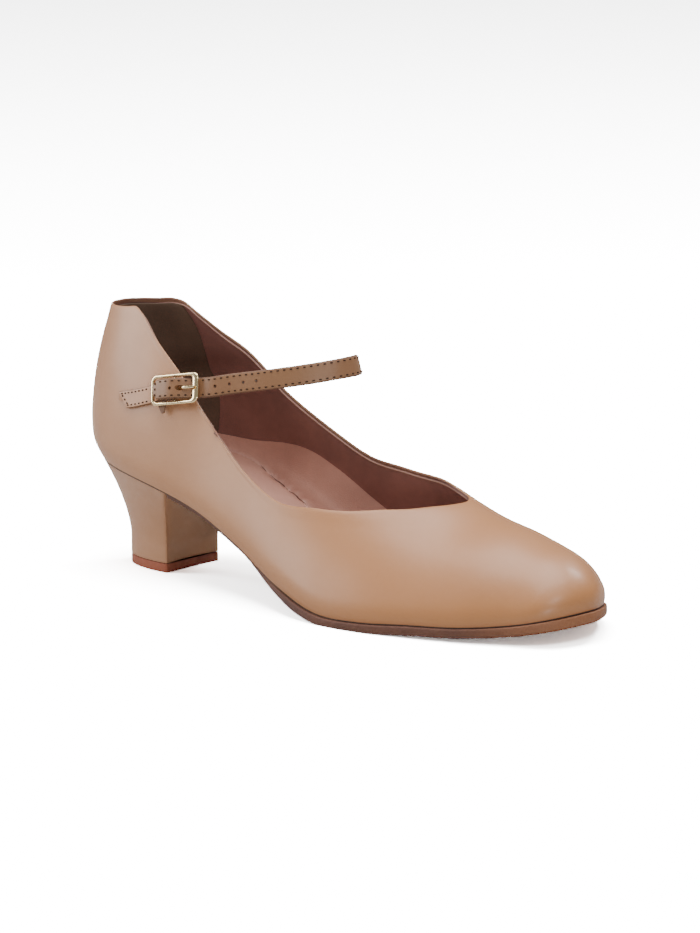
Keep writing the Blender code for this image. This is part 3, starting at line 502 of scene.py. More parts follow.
def rods(name, ends, radius, material, sides=8):
    """Many short rounded rods joined in one mesh, each from one end point to the other."""
    shape = bmesh.new()
    for start, end, outward in ends:
        run = (end - start).normalized()
        side = run.cross(outward).normalized()
        half = (end - start).length / 2
        middle = (start + end) / 2
        loops = []
        for ring in range(ROD_RINGS):
            along = -1 + 2 * ring / (ROD_RINGS - 1)
            wide = radius * (ROD_END + (1 - ROD_END) * math.sqrt(max(1 - along**4, 0)))
            sink = radius * ROD_SINK * along * along
            loop = []
            for step in range(sides):
                turn = 2 * math.pi * step / sides
                place = middle + run * (half * along) - outward * sink
                place = place + side * (wide * math.cos(turn)) + outward * (wide * math.sin(turn))
                loop.append(shape.verts.new(place - Vector(ORIGIN)))
            loops.append(loop)
        for low, up in zip(loops, loops[1:]):
            for step in range(sides):
                beside = (step + 1) % sides
                shape.faces.new((low[step], low[beside], up[beside], up[step]))
        shape.faces.new(loops[0][::-1])
        shape.faces.new(loops[-1])
    bmesh.ops.recalc_face_normals(shape, faces=shape.faces)
    return finished(name, shape, material)


def cord_along(name, path, radius, material):
    """A closed loop of round cord along a path with one point for each column of the upper."""
    rows = []
    count = len(path)
    for index in range(count):
        way = path[(index + 1) % count] - path[index - 1]
        way = way / np.linalg.norm(way)
        side = np.cross(way, outward_top[index])
        side = side / np.linalg.norm(side)
        rise = np.cross(side, way)
        turns = (2 * np.pi * np.arange(CORD_SIDES) / CORD_SIDES)[:, None]
        rows.append(path[index] + radius * (np.cos(turns) * side + np.sin(turns) * rise))
    return shaped_grid(name, np.array(rows), material, wrap_rows=True, wrap_columns=True)


# The lining's folded edge is a thin cord, coloured light tan as a painted highlight along the fold, with
# a row of small stitches under it.
outward_top = out[-1]
lining_edge_highlight = leather("lining_edge_painted_highlight", LINING_EDGE_HIGHLIGHT, LINING_EDGE_HIGHLIGHT, 0.5, pores=MEDIUM_PORES)
edge_path = rings[-1] - out[-1] * (UPPER_WALL + LINING_LIP * 0.4)
edge_path = edge_path - up[-1] * (LINING_DROP + LINING_LIP)
cord_along("lining_edge", edge_path, LINING_LIP, lining_edge_highlight)
stitch_line = rings[-1] - out[-1] * (UPPER_WALL + TOPLINE_STITCH_STAND)
stitch_line = stitch_line - up[-1] * (LINING_DROP + TOPLINE_STITCH_DROP)
steps = np.linalg.norm(np.roll(stitch_line, -1, axis=0) - stitch_line, axis=1)
line_run = np.concatenate([[0], np.cumsum(steps)])
closed_line = np.concatenate([stitch_line, stitch_line[:1]])
closed_out = np.concatenate([outward_top, outward_top[:1]])
topline_ends = []
for distance in np.arange(0, line_run[-1] - TOPLINE_STITCH_PITCH, TOPLINE_STITCH_PITCH):
    pair = []
    for at in (distance, distance + TOPLINE_STITCH_LENGTH):
        pair.append(Vector([np.interp(at, line_run, closed_line[:, axis]) for axis in range(3)]))
    facing = Vector([-np.interp(distance, line_run, closed_out[:, axis]) for axis in range(3)])
    topline_ends.append((pair[0], pair[1], facing))
lining_thread = thread_material("lining_thread", (0.300, 0.170, 0.115))
rods(
    "topline_stitches", topline_ends, LINING_THREAD_RADIUS, lining_thread,
    sides=LINING_THREAD_SIDES,
)

# A row of stitches runs down the counter lining's front edge on the inner side.
seam_rows = []
for row in range(2, LEATHER_ROWS - 4):
    inset = UPPER_WALL + COUNTER_THICKNESS + COUNTER_STITCH_STAND
    seam_rows.append(rings[row, -reach] - out[row, -reach] * inset)
seam_ends = []
facing = Vector(-out[LEATHER_ROWS // 2, -reach])
behind = Vector((-COUNTER_STITCH_FROM_EDGE, 0, 0))
for low, high in zip(seam_rows[::2], seam_rows[1::2]):
    seam_ends.append((Vector(low) + behind, Vector(high) + behind, facing))
rods(
    "counter_stitches", seam_ends, LINING_THREAD_RADIUS, lining_thread,
    sides=LINING_THREAD_SIDES,
)

# Insole sock
# The padded sock over the insole board, light rose leather that curves up the inner wall in a
# low arch pad. It closes the shoe over its whole length and replaces the insole's solid.
COVE_STEPS = 34
COVE_STEP_EASE = 1.4  # sets the rows closer together at the wall
COVE_CURVE = 1.35
OUTER_COVE_START = 0.88
SIDE_BLEND = 0.012  # how far from the middle line the inner or outer side's cove is whole
SOCK_THICKNESS = 0.0028
SOCK_COLOR = (0.430, 0.215, 0.160)
SOCK_SHADE = (0.340, 0.160, 0.118)
Cove = namedtuple("Cove", "along start inner outer")
COVES = [Cove(*row) for row in (
    (0.00, 0.90, 0.0040, 0.0040), (0.12, 0.90, 0.0044, 0.0038), (0.20, 0.92, 0.0066, 0.0036),
    (0.28, 0.80, 0.0125, 0.0034), (0.37, 0.66, 0.0180, 0.0034), (0.45, 0.64, 0.0185, 0.0036),
    (0.50, 0.66, 0.0165, 0.0038), (0.62, 0.80, 0.0090, 0.0040), (0.80, 0.88, 0.0045, 0.0040),
    (1.00, 0.90, 0.0036, 0.0036),
)]
CREASE = (
    (0.056, 0.0228), (0.066, 0.0205), (0.074, 0.0189), (0.080, 0.0177), (0.086, 0.0169), (0.112, 0.0150),
)
CREASE_DEPTH = 0.0012
CREASE_WIDTH = 0.0012
CREASE_FADE = 0.010
CREASE_RIM = 0.6  # height of the raised rim beside it, as a share of its depth
CREASE_RIM_PLACE = 1.6  # in widths from its middle
CREASE_LINE_STEPS = 16
CREASE_LINE_START = 0.002
CREASE_LINE_END = 0.012
CREASE_LINE_LIFT = 0.00018
CREASE_LINE_OVERLAP = 0.6
CREASE_LINE_RADIUS = 0.0002
SPINE_FROM_BACK = 0.024
SPINE_TO_TOE = 0.026


def inside_wall(rise, inset):
    """The inside of the upper at a rise for each column, drawn in from its outer surface."""
    skin = rings - out * inset
    tops = rings[-1][:, 2] - rings[0][:, 2]
    place = np.clip(rise / tops, 0, 1) * (LEATHER_ROWS - 1)
    low = np.minimum(place.astype(int), LEATHER_ROWS - 2)
    share = (place - low)[:, None]
    columns = np.arange(skin.shape[1])
    return skin[low, columns] * (1 - share) + skin[low + 1, columns] * share


base = inside_wall(np.zeros(rings.shape[1]), UPPER_WALL + CLEARANCE)
along = base[:, 0] / FOOT_LENGTH
inner_share = np.clip(base[:, 1] / SIDE_BLEND, -1, 1) / 2 + 0.5
start = smooth(along, column(COVES, "along"), column(COVES, "start"))
start = start * inner_share + OUTER_COVE_START * (1 - inner_share)
high = smooth(along, column(COVES, "along"), column(COVES, "inner")) * inner_share
high = high + smooth(along, column(COVES, "along"), column(COVES, "outer")) * (1 - inner_share)
spine_x = np.clip(base[:, 0], SPINE_FROM_BACK, FOOT_LENGTH - SPINE_TO_TOE)
spine = np.stack([spine_x, np.zeros_like(spine_x), feather_height(spine_x)], axis=1)
crease_x, crease_y = np.array(CREASE).T
sock_rows = [spine, base]
for share in 1 - (np.linspace(0, 1, COVE_STEPS) ** COVE_STEP_EASE):
    climb = np.clip((share - start) / (1 - start), 0, 1) ** COVE_CURVE
    wall_point = inside_wall(SOCK_THICKNESS + high * climb, UPPER_WALL + CLEARANCE)
    point = spine + (wall_point - spine) * share
    point[:, 2] = feather_height(np.clip(point[:, 0], 0, FOOT_LENGTH)) + SOCK_THICKNESS + high * climb
    aside = (point[:, 1] - np.interp(point[:, 0], crease_x, crease_y)) / CREASE_WIDTH
    from_ends = np.minimum(point[:, 0] - crease_x[0], crease_x[-1] - point[:, 0])
    rim = CREASE_RIM * np.exp(-((aside - CREASE_RIM_PLACE) ** 2))
    point[:, 2] += CREASE_DEPTH * np.clip(from_ends / CREASE_FADE, 0, 1) * (rim - np.exp(-(aside**2)))
    sock_rows.append(point)
sock_leather = leather("sock_leather", SOCK_COLOR, SOCK_SHADE, 0.55, pores=1300.0, relief=0.00005)
sock = shaped_grid("insole_sock", np.array(sock_rows), sock_leather, wrap_columns=True)
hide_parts("insole")
sock_points = np.concatenate(sock_rows[2:])
# A thin dark rod laid along the crease: painted shade in the crease.
crease_line = []
for x in np.linspace(
    crease_x[0] + CREASE_LINE_START, crease_x[-1] - CREASE_LINE_END, CREASE_LINE_STEPS
):
    y = float(np.interp(x, crease_x, crease_y))
    near = sock_points[np.argmin(np.hypot(sock_points[:, 0] - x, sock_points[:, 1] - y))]
    crease_line.append(Vector((x, y, near[2] + CREASE_LINE_LIFT)))
crease_ends = []
for low, high in zip(crease_line, crease_line[1:]):
    past = (high - low) * CREASE_LINE_OVERLAP
    crease_ends.append((low - past, high + past, Vector((0, 0, 1))))
crease_painted_shade = leather("sock_crease_painted_shade", (0.165, 0.072, 0.054), (0.120, 0.050, 0.038), 0.7)
rods(
    "sock_crease_painted_shade", crease_ends, CREASE_LINE_RADIUS, crease_painted_shade,
    sides=LINING_THREAD_SIDES,
)
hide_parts("upper")

# Outsole
# A thin leather sole with a rough red-brown edge, lighter round the toe, that stands a little
# proud of the upper at the forepart and draws in under the waist.
SHANK_THICKNESS = 0.0018
OUTSOLE_LIP = 0.0012
SHANK_INSET = 0.0012
OUTSOLE_EDGE = 0.0005
TOE_THICKENING = 0.37  # share of the sole's thickness added at the tip
TIP_ROUNDING = 0.0014  # how far the sole's underside draws in more at the tip
SPREAD_START = 0.40  # where the thin shank begins to widen, as a share of the foot length
SPREAD_END = 0.56
HEEL_TOP_LENGTH = 0.0535
LIFT_THICKNESS = 0.0034
LIFT_WIDTH = 0.0280
LIFT_FULLNESS = 2.2
LIFT_EDGE = 0.0003
BREAST_HOLLOW = 0.0012
HEEL_CURVE_END = 0.80
HEEL_CURVE = 1.55
SOLE_COLUMNS = 170
SOLE_EDGE_STEPS = 5
SHADOW_LINE_RADIUS = 0.0003
SHADOW_LINE_SINK = 0.6  # share of its radius that it sinks into the leather


def edge_normals(points, side):
    """Flat outward directions along one side's edge."""
    run = np.gradient(points[:, :2], axis=0)
    run /= np.maximum(np.linalg.norm(run, axis=1), 1e-9)[:, None]
    return side * np.stack([-run[:, 1], run[:, 0]], axis=1)


def feather_edge(x, side, offset):
    """The feather line on one side, moved outward in plan. It faces straight back and ahead where
    it crosses the middle line."""
    points = on_last(x, np.zeros_like(x), side)
    normals = edge_normals(points, side)
    if x[0] < 1e-6:
        normals[0] = (-1, 0)
    if x[-1] > FOOT_LENGTH - 1e-6:
        normals[-1] = (1, 0)
    moved = points.copy()
    moved[:, :2] += normals * np.broadcast_to(offset, x.shape)[:, None]
    return moved


def at_height(edge, heights):
    moved = edge.copy()
    moved[:, 2] = heights
    return moved


def outsole_spread(x):
    """0 in the shank and 1 from the ball forward."""
    share = np.clip((x / FOOT_LENGTH - SPREAD_START) / (SPREAD_END - SPREAD_START), 0, 1)
    return share * share * (3 - 2 * share)


def toward_tip(x):
    """0 behind the toe and 1 at its tip."""
    return np.clip(1 - (FOOT_LENGTH - x) / TOE_TUCK_LENGTH, 0, 1)


def outsole_thickness(x):
    thickness = SHANK_THICKNESS + (OUTSOLE_THICKNESS - SHANK_THICKNESS) * outsole_spread(x)
    return thickness * (1 + TOE_THICKENING * toward_tip(x) ** 2)


def ringed_solid(name, rings, material):
    """A closed solid through level rings, the first and last of them capped along the middle line."""
    caps = [ring * (1, 0, 1) for ring in (rings[0], rings[-1])]
    return shaped_grid(name, np.array([caps[0], *rings, caps[1]]), material, wrap_columns=True)


def sole_material():
    """Red-brown edge leather: rough fibre along the edge, lighter orange-brown towards the toe."""
    material = leather(
        "sole_edge", (0.098, 0.034, 0.018), (0.045, 0.014, 0.008), 0.66, pores=620.0, relief=0.00024
    )
    toward_toe(material, (0.270, 0.105, 0.040), 0.168, 0.205, 0.80)
    return material


sole_x = FOOT_LENGTH - (FOOT_LENGTH - HEEL_TOP_LENGTH - CLEARANCE) * (
    1 - np.cos(np.pi / 2 * np.linspace(0, 1, SOLE_COLUMNS))
)[::-1]
sole_offset = -SHANK_INSET + (SHANK_INSET + OUTSOLE_LIP) * outsole_spread(sole_x)
sole_top = feather_height(sole_x) - CLEARANCE
sole_bottom = np.maximum(sole_top - outsole_thickness(sole_x), 0)
tip_round = TIP_ROUNDING * toward_tip(sole_x) ** 2


def sole_ring(draw_in, heights):
    outer, inner = [feather_edge(sole_x, side, sole_offset - draw_in) for side in (OUTER, INNER)]
    outer, inner = at_height(outer, heights), at_height(inner, heights)
    back = [inner[0] * share + outer[0] * (1 - share) for share in np.linspace(0.9, 0.1, 9)]
    return np.concatenate([outer, inner[-2::-1], back])


sole_rings = []
for turn in np.linspace(0, math.pi / 2, SOLE_EDGE_STEPS):
    eased = OUTSOLE_EDGE + tip_round
    draw_in, lift = eased * (1 - math.sin(turn)), eased * (1 - math.cos(turn))
    sole_rings.append(sole_ring(draw_in, sole_bottom + lift))
for turn in np.linspace(math.pi / 2, 0, SOLE_EDGE_STEPS):
    draw_in, drop = OUTSOLE_EDGE * (1 - math.sin(turn)), OUTSOLE_EDGE * (1 - math.cos(turn))
    sole_rings.append(sole_ring(draw_in, sole_top - drop))
sole = ringed_solid("outsole_leather", sole_rings, sole_material())

# A dark cord where the upper meets the sole and the heel: painted shadow in the narrow gap between them.
feather_shadow_paint = leather("feather_painted_shadow", (0.060, 0.028, 0.016), (0.035, 0.016, 0.010), 0.7, pores=900.0)
feather_shadow_path = rings[0] - out[0] * SHADOW_LINE_RADIUS * SHADOW_LINE_SINK
cord_along("feather_painted_shadow", feather_shadow_path, SHADOW_LINE_RADIUS, feather_shadow_paint)
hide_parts("outsole")

# Heel
# The block covered in the upper's own leather, drawn in from the seat to the top lift, its cover
# turned round the corners of the hollow breast.
HEEL_COLUMNS = 60
HEEL_ROWS = 40
BREAST_STEPS = 16
BREAST_CORNER = 0.0008


def lift_edge(side, draw_in):
    """One side of the top lift's outline, from its back to the breast corner."""
    share = 1 - np.cos(np.pi / 2 * np.linspace(0, 1, HEEL_COLUMNS))
    length, half = LIFT_LENGTH - 2 * draw_in, LIFT_WIDTH / 2 - draw_in
    x = LIFT_BACK + draw_in + length * share
    width = half * rounded_end(1 - share, LIFT_FULLNESS)
    return np.stack([x, HEEL_INWARD + side * width, np.zeros_like(x)], axis=1)


def heel_ring(outer, inner):
    """The outline from the back round the outer side, the breast and the inner side."""
    share = np.linspace(0, 1, BREAST_STEPS + 1)[:, None]
    breast = outer[-1] * (1 - share) + inner[-1] * share
    breast[:, 0] -= BREAST_HOLLOW * 4 * (share * (1 - share))[:, 0]
    ring = np.concatenate([outer, breast[1:-1], inner[::-1][:-1]])
    corners = (len(outer) - 1, len(outer) + BREAST_STEPS - 1)
    for corner in corners:
        here = ring[corner]
        for beside in (corner - 1, corner + 1):
            run = ring[beside] - here
            length = np.linalg.norm(run)
            ring[beside] = here + run / length * min(BREAST_CORNER, length)
        ring[corner] = here * 0.5 + ring[corner - 1] * 0.25 + ring[corner + 1] * 0.25
    return ring


heel_x = HEEL_TOP_LENGTH * (1 - np.cos(np.pi / 2 * np.linspace(0, 1, HEEL_COLUMNS)))
heel_rings = []
for down in np.linspace(1, 0, HEEL_ROWS + 1):
    drawn = 1 - (1 - min(down / HEEL_CURVE_END, 1)) ** HEEL_CURVE
    edges = []
    for side in (OUTER, INNER):
        seat_line = feather_edge(heel_x, side, 0.0)
        seat_line[:, 2] -= CLEARANCE
        edge = seat_line * (1 - drawn) + lift_edge(side, 0.0) * drawn
        edge[:, 2] = seat_line[:, 2] * (1 - down) + (LIFT_THICKNESS + CLEARANCE) * down
        edges.append(edge)
    heel_rings.append(heel_ring(*edges))
heel = ringed_solid("heel_cover", heel_rings, tan_leather)
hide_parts("heel")

# Top lift
# The reddish brown piece that the heel stands on, its edge ground in fine lines.
lift_rings = []
for height, draw_in in (
    (0.0, LIFT_EDGE),
    (LIFT_EDGE * 0.3, LIFT_EDGE * 0.3),
    (LIFT_EDGE, 0.0),
    (LIFT_THICKNESS / 2, 0.0),
    (LIFT_THICKNESS, 0.0),
):
    edges = [at_height(lift_edge(side, draw_in), height) for side in (OUTER, INNER)]
    lift_rings.append(heel_ring(*edges))
lift_leather = leather(
    "top_lift_edge", (0.330, 0.088, 0.042), (0.190, 0.050, 0.026), 0.55, pores=1200.0, relief=0.00006
)
top_lift = ringed_solid("top_lift_leather", lift_rings, lift_leather)
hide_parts("top_lift")

# Strap
# The folded leather instep strap, stitched along both edges, with its row of punched holes. It
# rises from the buckle, bends over the instep and comes down to the inner quarter.
STRAP_WIDTH = 0.0075
STRAP_THICKNESS = 0.0018
STRAP_LEAN = math.radians(14)
STRAP_TIP_ROUND = 0.0022
STRAP_TIP_TAPER = 0.45  # share of the width lost at the tip
STRAP_TAIL_ROOM = 0.0002  # more room where the strap leans more than the quarter under it
STRAP_TURN = 0.015  # length over which it turns from the buckle's slope to its own lean
BUCKLE_LENGTH = 0.0210
BUCKLE_WIRE = 0.0013
BUCKLE_END_BAR = 0.0026
BUCKLE_CORNER = 0.0026
BUCKLE_SIDE_ROOM = 0.00065  # between the strap's edge and the frame
BUCKLE_CLIMB = math.radians(12.3)
BUCKLE_YAW = math.radians(1.6)
BAR_FROM_END = 0.0102
BAR_DROP = 0.0006  # the middle bar below the frame's own middle
BAR_RADIUS = 0.0005
LOOP_ROOM = 0.0004  # between the tab's loop and the quarter
PRONG_RADIUS = 0.0006
PRONG_SLEEVE_WIDTH = 0.0022
PRONG_SLEEVE_WALL = 0.0004
PRONG_ROOM = 0.0004  # round the prong in the strap's hole
PRONG_HOLE_FROM_BAR = 0.0020
PRONG_HOLE_LENGTH = 0.0034
TAB_WIDTH = 0.0066
TAB_THICKNESS = 0.0008
TAB_SLANT = 0.0045
TAB_LOOP_START = math.radians(-80)
TAB_LOOP_END = math.radians(155)
NORMAL_STEP = 0.0005
PATH_SAMPLES = 40
STRAP_STEPS = 180
BUCKLE_HEIGHT = STRAP_WIDTH + 2 * (BUCKLE_SIDE_ROOM + BUCKLE_WIRE)
LOOP_RADIUS = BAR_RADIUS + CLEARANCE + TAB_THICKNESS
BUCKLE_STAND_OFF = BAR_DROP + LOOP_RADIUS + LOOP_ROOM
OVER_BAR = LOOP_RADIUS - BAR_DROP + CLEARANCE + STRAP_THICKNESS / 2
UNDER_FRAME = -(BUCKLE_WIRE / 2 + CLEARANCE + STRAP_THICKNESS / 2)
ON_FRAME = BUCKLE_WIRE / 2 + CLEARANCE + PRONG_RADIUS
BAND_EDGE_STEPS = 6
BAND_FACE_SHARES = (0.2, 0.4, 0.6, 0.8)
BAND_ROUNDING = 0.85  # share of the half thickness
BAND_END_SCALE = 0.7
STRAP_CROWN = 0.00005
HOLE_RADIUS = 0.0006
HOLES_ALONG = (0.0077, 0.0255, 0.0310, 0.0366, 0.0418)
THREAD_RADIUS = 0.00027
THREAD_STAND = 0.35  # share of the thread's radius that its middle stands over the leather
THREAD_COLOR = (0.055, 0.026, 0.014)

# The middle line of the strap where it stands free over the instep, from the buckle round to the
# inner side. along: share of the foot length. inward: share of the ball width. over: height over
# the feather line, as a share of the instep's rise.
StrapPoint = namedtuple("StrapPoint", "along inward over")
STRAP_ARCH = [StrapPoint(*row) for row in (
    (0.327, -0.190, 0.825), (0.391, -0.115, 0.978), (0.450, 0.015, 1.127), (0.470, 0.100, 1.180),
    (0.474, 0.182, 1.191), (0.466, 0.235, 1.170), (0.447, 0.279, 1.110), (0.402, 0.312, 0.980),
    (0.341, 0.327, 0.818), (0.290, 0.328, 0.694),
)]

# Places on the upper. along: share of the foot length. rise: share of the back's rise.
OnUpper = namedtuple("OnUpper", "along rise")
BUCKLE_PLACE = OnUpper(0.1948, 0.603)
STRAP_TAIL = [OnUpper(*row) for row in (
    (0.2388, 0.618), (0.2132, 0.564), (0.1876, 0.510),
)]
TAB_ON_QUARTER = [OnUpper(*row) for row in (
    (0.1203, 0.465), (0.1539, 0.515), (0.1834, 0.569),
)]

# Rows in the buckle. along: 0 at the frame's back end, 1 at the middle bar, 2 at the frame's front
# end. out, for the strap: 1 where it lies on the tab's loop over the middle bar, 0 where it runs
# under the end bar. out, for the prong: 0 at the middle bar's own height, 1 on the end bar.
InBuckle = namedtuple("InBuckle", "along out")
STRAP_IN_BUCKLE = [InBuckle(*row) for row in (
    (0.245, 0.852), (0.627, 0.975), (1.000, 1.000), (1.278, 0.753),
    (1.537, 0.309), (1.759, -0.012), (2.019, -0.086), (2.370, -0.111),
)]
PRONG_PATH = [InBuckle(*row) for row in (
    (1.083, 0.186), (1.222, 0.326), (1.361, 0.744),
    (1.509, 1.116), (1.704, 1.116), (1.935, 1.009),
)]
TAB_TO_LOOP = (0.294, 0.637)  # along, where the tab runs flat before its loop


def seat_on_upper(place, side, stand_off):
    """A point at a distance out from the upper, and the surface's outward direction there."""
    x, rise = place.along * FOOT_LENGTH, place.rise * BACK_RISE
    places_x, rises = [x, x + NORMAL_STEP, x], [rise, rise, rise + NORMAL_STEP]
    here, ahead, above = on_last(places_x, rises, side)
    forward = Vector(ahead - here).normalized()
    outward = forward.cross(Vector(above - here)).normalized()
    if outward.y * side < 0:
        outward.negate()
    return Vector(here) + outward * stand_off, outward


def buckle_axes():
    """The buckle's own axes: x along the strap, y across it, z out from the foot."""
    start, outward = seat_on_upper(BUCKLE_PLACE, OUTER, BUCKLE_STAND_OFF)
    climb = Vector((math.cos(BUCKLE_CLIMB), 0, math.sin(BUCKLE_CLIMB)))
    forward = (climb - outward * climb.dot(outward)).normalized()
    across = outward.cross(forward)
    turn = Matrix.Rotation(BUCKLE_YAW, 3, across)
    forward, outward = turn @ forward, turn @ outward
    axes = Matrix((forward, across, outward)).transposed().to_4x4()
    return Matrix.Translation(start) @ axes


def in_buckle(along):
    """A place along the buckle, from the shares that its rows are given in."""
    if along <= 1:
        return along * BAR_FROM_END
    return BAR_FROM_END + (along - 1) * (BUCKLE_LENGTH - BAR_FROM_END)


def resample(path, count):
    """Even steps along a smooth curve through the path's points."""
    rows = np.array([tuple(point) for point in path])
    length = np.concatenate([[0], np.cumsum(np.linalg.norm(np.diff(rows, axis=0), axis=1))])
    dense_at = np.linspace(0, length[-1], PATH_SAMPLES * len(rows))
    dense = np.stack([smooth(dense_at, length, rows[:, axis]) for axis in range(3)], axis=1)
    run = np.concatenate([[0], np.cumsum(np.linalg.norm(np.diff(dense, axis=0), axis=1))])
    even = np.linspace(0, run[-1], count)
    return [Vector([np.interp(at, run, dense[:, axis]) for axis in range(3)]) for at in even]


def strap_path():
    """Centre points and across directions of the strap, from its tip to its sewn end."""
    axes = buckle_axes()
    path = []
    for row in STRAP_IN_BUCKLE:
        out = UNDER_FRAME + row.out * (OVER_BAR - UNDER_FRAME)
        path.append(axes @ Vector((in_buckle(row.along), 0, out)))
    for row in STRAP_ARCH:
        x = row.along * FOOT_LENGTH
        height = float(feather_height(np.array(x))) + row.over * INSTEP_RISE
        path.append(Vector((x, row.inward * BALL_WIDTH, height)))
    stand_off = CLEARANCE + STRAP_TAIL_ROOM + STRAP_THICKNESS / 2
    path += [seat_on_upper(row, INNER, stand_off)[0] for row in STRAP_TAIL]
    centres = resample(path, STRAP_STEPS)
    across = axes.to_3x3() @ Vector((0, 1, 0))
    ups = []
    for index, centre in enumerate(centres):
        run = centres[min(index + 1, STRAP_STEPS - 1)] - centres[max(index - 1, 0)]
        flat_out = Vector((run.y, -run.x, 0)).normalized()
        free = Vector((0, 0, math.cos(STRAP_LEAN))) - flat_out * math.sin(STRAP_LEAN)
        along = (axes.inverted() @ centre).x
        held = 1 - min(max((along - BUCKLE_LENGTH) / STRAP_TURN, 0), 1)
        if centre.y > 0:
            held = 0
        ups.append((across * held + free * (1 - held)).normalized())
    return centres, ups


def band_frames(centres, ups):
    """Each centre with its direction along the band, across it and out of it."""
    frames = []
    for index, centre in enumerate(centres):
        before = centres[max(index - 1, 0)]
        after = centres[min(index + 1, len(centres) - 1)]
        run = (after - before).normalized()
        across = (ups[index] - run * ups[index].dot(run)).normalized()
        frames.append((centre, run, across, run.cross(across).normalized()))
    return frames


def band(name, frames, widths, thickness, crown, materials, slant=0.0):
    """A flat band with fully rounded edges and a slightly crowned face, closed at both ends. Its
    edges take the second material. A slant moves its first end back along its lower edge."""
    rows = []
    last = len(frames) - 1
    order = [(0, 0.0), (0, BAND_END_SCALE)] + [(index, 1.0) for index in range(last + 1)]
    for index, scale in order + [(last, BAND_END_SCALE), (last, 0.0)]:
        centre, run, across, outward = frames[index]
        gone = (centre - frames[0][0]).length
        lean = slant * max(1 - gone / max(3 * slant, 1e-9), 0)
        half, deep = widths[index] / 2, thickness / 2
        round_off = min(deep, half) * BAND_ROUNDING
        flat = []
        for corner, start in (((1, 1), 0), ((-1, 1), 90), ((-1, -1), 180), ((1, -1), 270)):
            for step in range(BAND_EDGE_STEPS + 1):
                turn = math.radians(start + 90 * step / BAND_EDGE_STEPS)
                y = corner[0] * (half - round_off) + round_off * math.cos(turn)
                flat.append((y, corner[1] * (deep - round_off) + round_off * math.sin(turn)))
            if corner[0] == corner[1]:
                for share in BAND_FACE_SHARES:
                    bow = crown * (1 - (1 - 2 * share) ** 2)
                    y = corner[0] * (half - round_off) * (1 - 2 * share)
                    flat.append((y, corner[1] * (deep + bow)))
        row = []
        for y, z in flat:
            shift = run * lean * (0.5 - y / (2 * half))
            row.append(centre + shift + (across * y + outward * z) * scale)
        rows.append([tuple(point) for point in row])
    made = shaped_grid(name, np.array(rows), materials[0], wrap_columns=True)
    made.data.materials.append(materials[1])
    places = made.data.uv_layers[0].data
    columns = len(rows[0])
    edge_columns = (BAND_EDGE_STEPS + 1) * 0.75
    for face in made.data.polygons:
        place = sum(places[loop].uv.x for loop in face.loop_indices) / face.loop_total * columns
        first = place < edge_columns or place > columns - edge_columns
        second = abs(place - columns / 2) < edge_columns
        face.material_index = 1 if first or second else 0
    return made


def lengths_along(centres):
    """How far along a path each of its points lies."""
    run = [0.0]
    for here, after in zip(centres, centres[1:]):
        run.append(run[-1] + (after - here).length)
    return run


def frame_at(frames, run, distance):
    """A band's frame at a distance along it from its first end."""
    place = float(np.interp(distance, run, range(len(run))))
    low = min(int(place), len(frames) - 2)
    share = place - low
    return [a * (1 - share) + b * share for a, b in zip(frames[low], frames[low + 1])]


def for_thread(frames, run, thickness, distance, aside):
    """A place for thread on a band's face, off its middle line, and the way out of the band."""
    centre, _, across, outward = frame_at(frames, run, distance)
    stand = thickness / 2 + THREAD_RADIUS * THREAD_STAND
    return centre + across * aside + outward * stand, outward


strap_leather = leather(
    "strap_leather", (0.225, 0.108, 0.048), (0.175, 0.080, 0.036), 0.46, pores=1800.0, coat=0.10
)
centres, ups = strap_path()
frames = band_frames(centres, ups)
run = lengths_along(centres)
widths = []
for distance in run:
    past = max(1 - distance / STRAP_TIP_ROUND, 0)
    widths.append(STRAP_WIDTH * (1 - STRAP_TIP_TAPER * past**2))
edge_leather = leather(
    "strap_edge", (0.150, 0.070, 0.034), (0.100, 0.045, 0.022), 0.62, pores=1500.0, relief=0.00005
)
strap = band(
    "strap_leather", frames, widths, STRAP_THICKNESS, STRAP_CROWN, (strap_leather, edge_leather),
)


def punched(piece, cutters):
    """The piece with round or long holes cut through it."""
    shape = bmesh.new()
    for centre, run_way, across, outward, radius, length in cutters:
        part = bmesh.ops.create_cone(
            shape, cap_ends=True, segments=24, radius1=radius, radius2=radius, depth=0.02
        )
        axes = Matrix((run_way, across, outward)).transposed().to_4x4()
        stretch = Matrix.Diagonal((length / (2 * radius), 1, 1, 1))
        move = Matrix.Translation(centre - Vector(ORIGIN)) @ axes @ stretch
        bmesh.ops.transform(shape, matrix=move, verts=part["verts"])
    mesh = bpy.data.meshes.new("cutter")
    shape.to_mesh(mesh)
    shape.free()
    cutter = linked("cutter", mesh)
    cut = piece.modifiers.new("Holes", "BOOLEAN")
    cut.solver = "EXACT"
    cut.object = cutter
    bpy.context.view_layer.update()
    done = bpy.data.meshes.new_from_object(piece.evaluated_get(bpy.context.evaluated_depsgraph_get()))
    piece.modifiers.clear()
    piece.data = done
    bpy.data.objects.remove(cutter)
    done.set_sharp_from_angle(angle=SHARP_ANGLE)


holes = []
for distance in HOLES_ALONG:
    centre, way, across, outward = frame_at(frames, run, distance)
    holes.append((centre, way, across, outward, HOLE_RADIUS, 2 * HOLE_RADIUS))
axes = buckle_axes()
turned = axes.to_3x3()
middle = BAR_FROM_END + PRONG_HOLE_FROM_BAR + PRONG_HOLE_LENGTH / 2
holes.append((
    axes @ Vector((middle, 0, 0)), turned.col[0], turned.col[1], turned.col[2],
    PRONG_RADIUS + PRONG_ROOM, PRONG_HOLE_LENGTH,
))
punched(strap, holes)
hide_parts("strap")

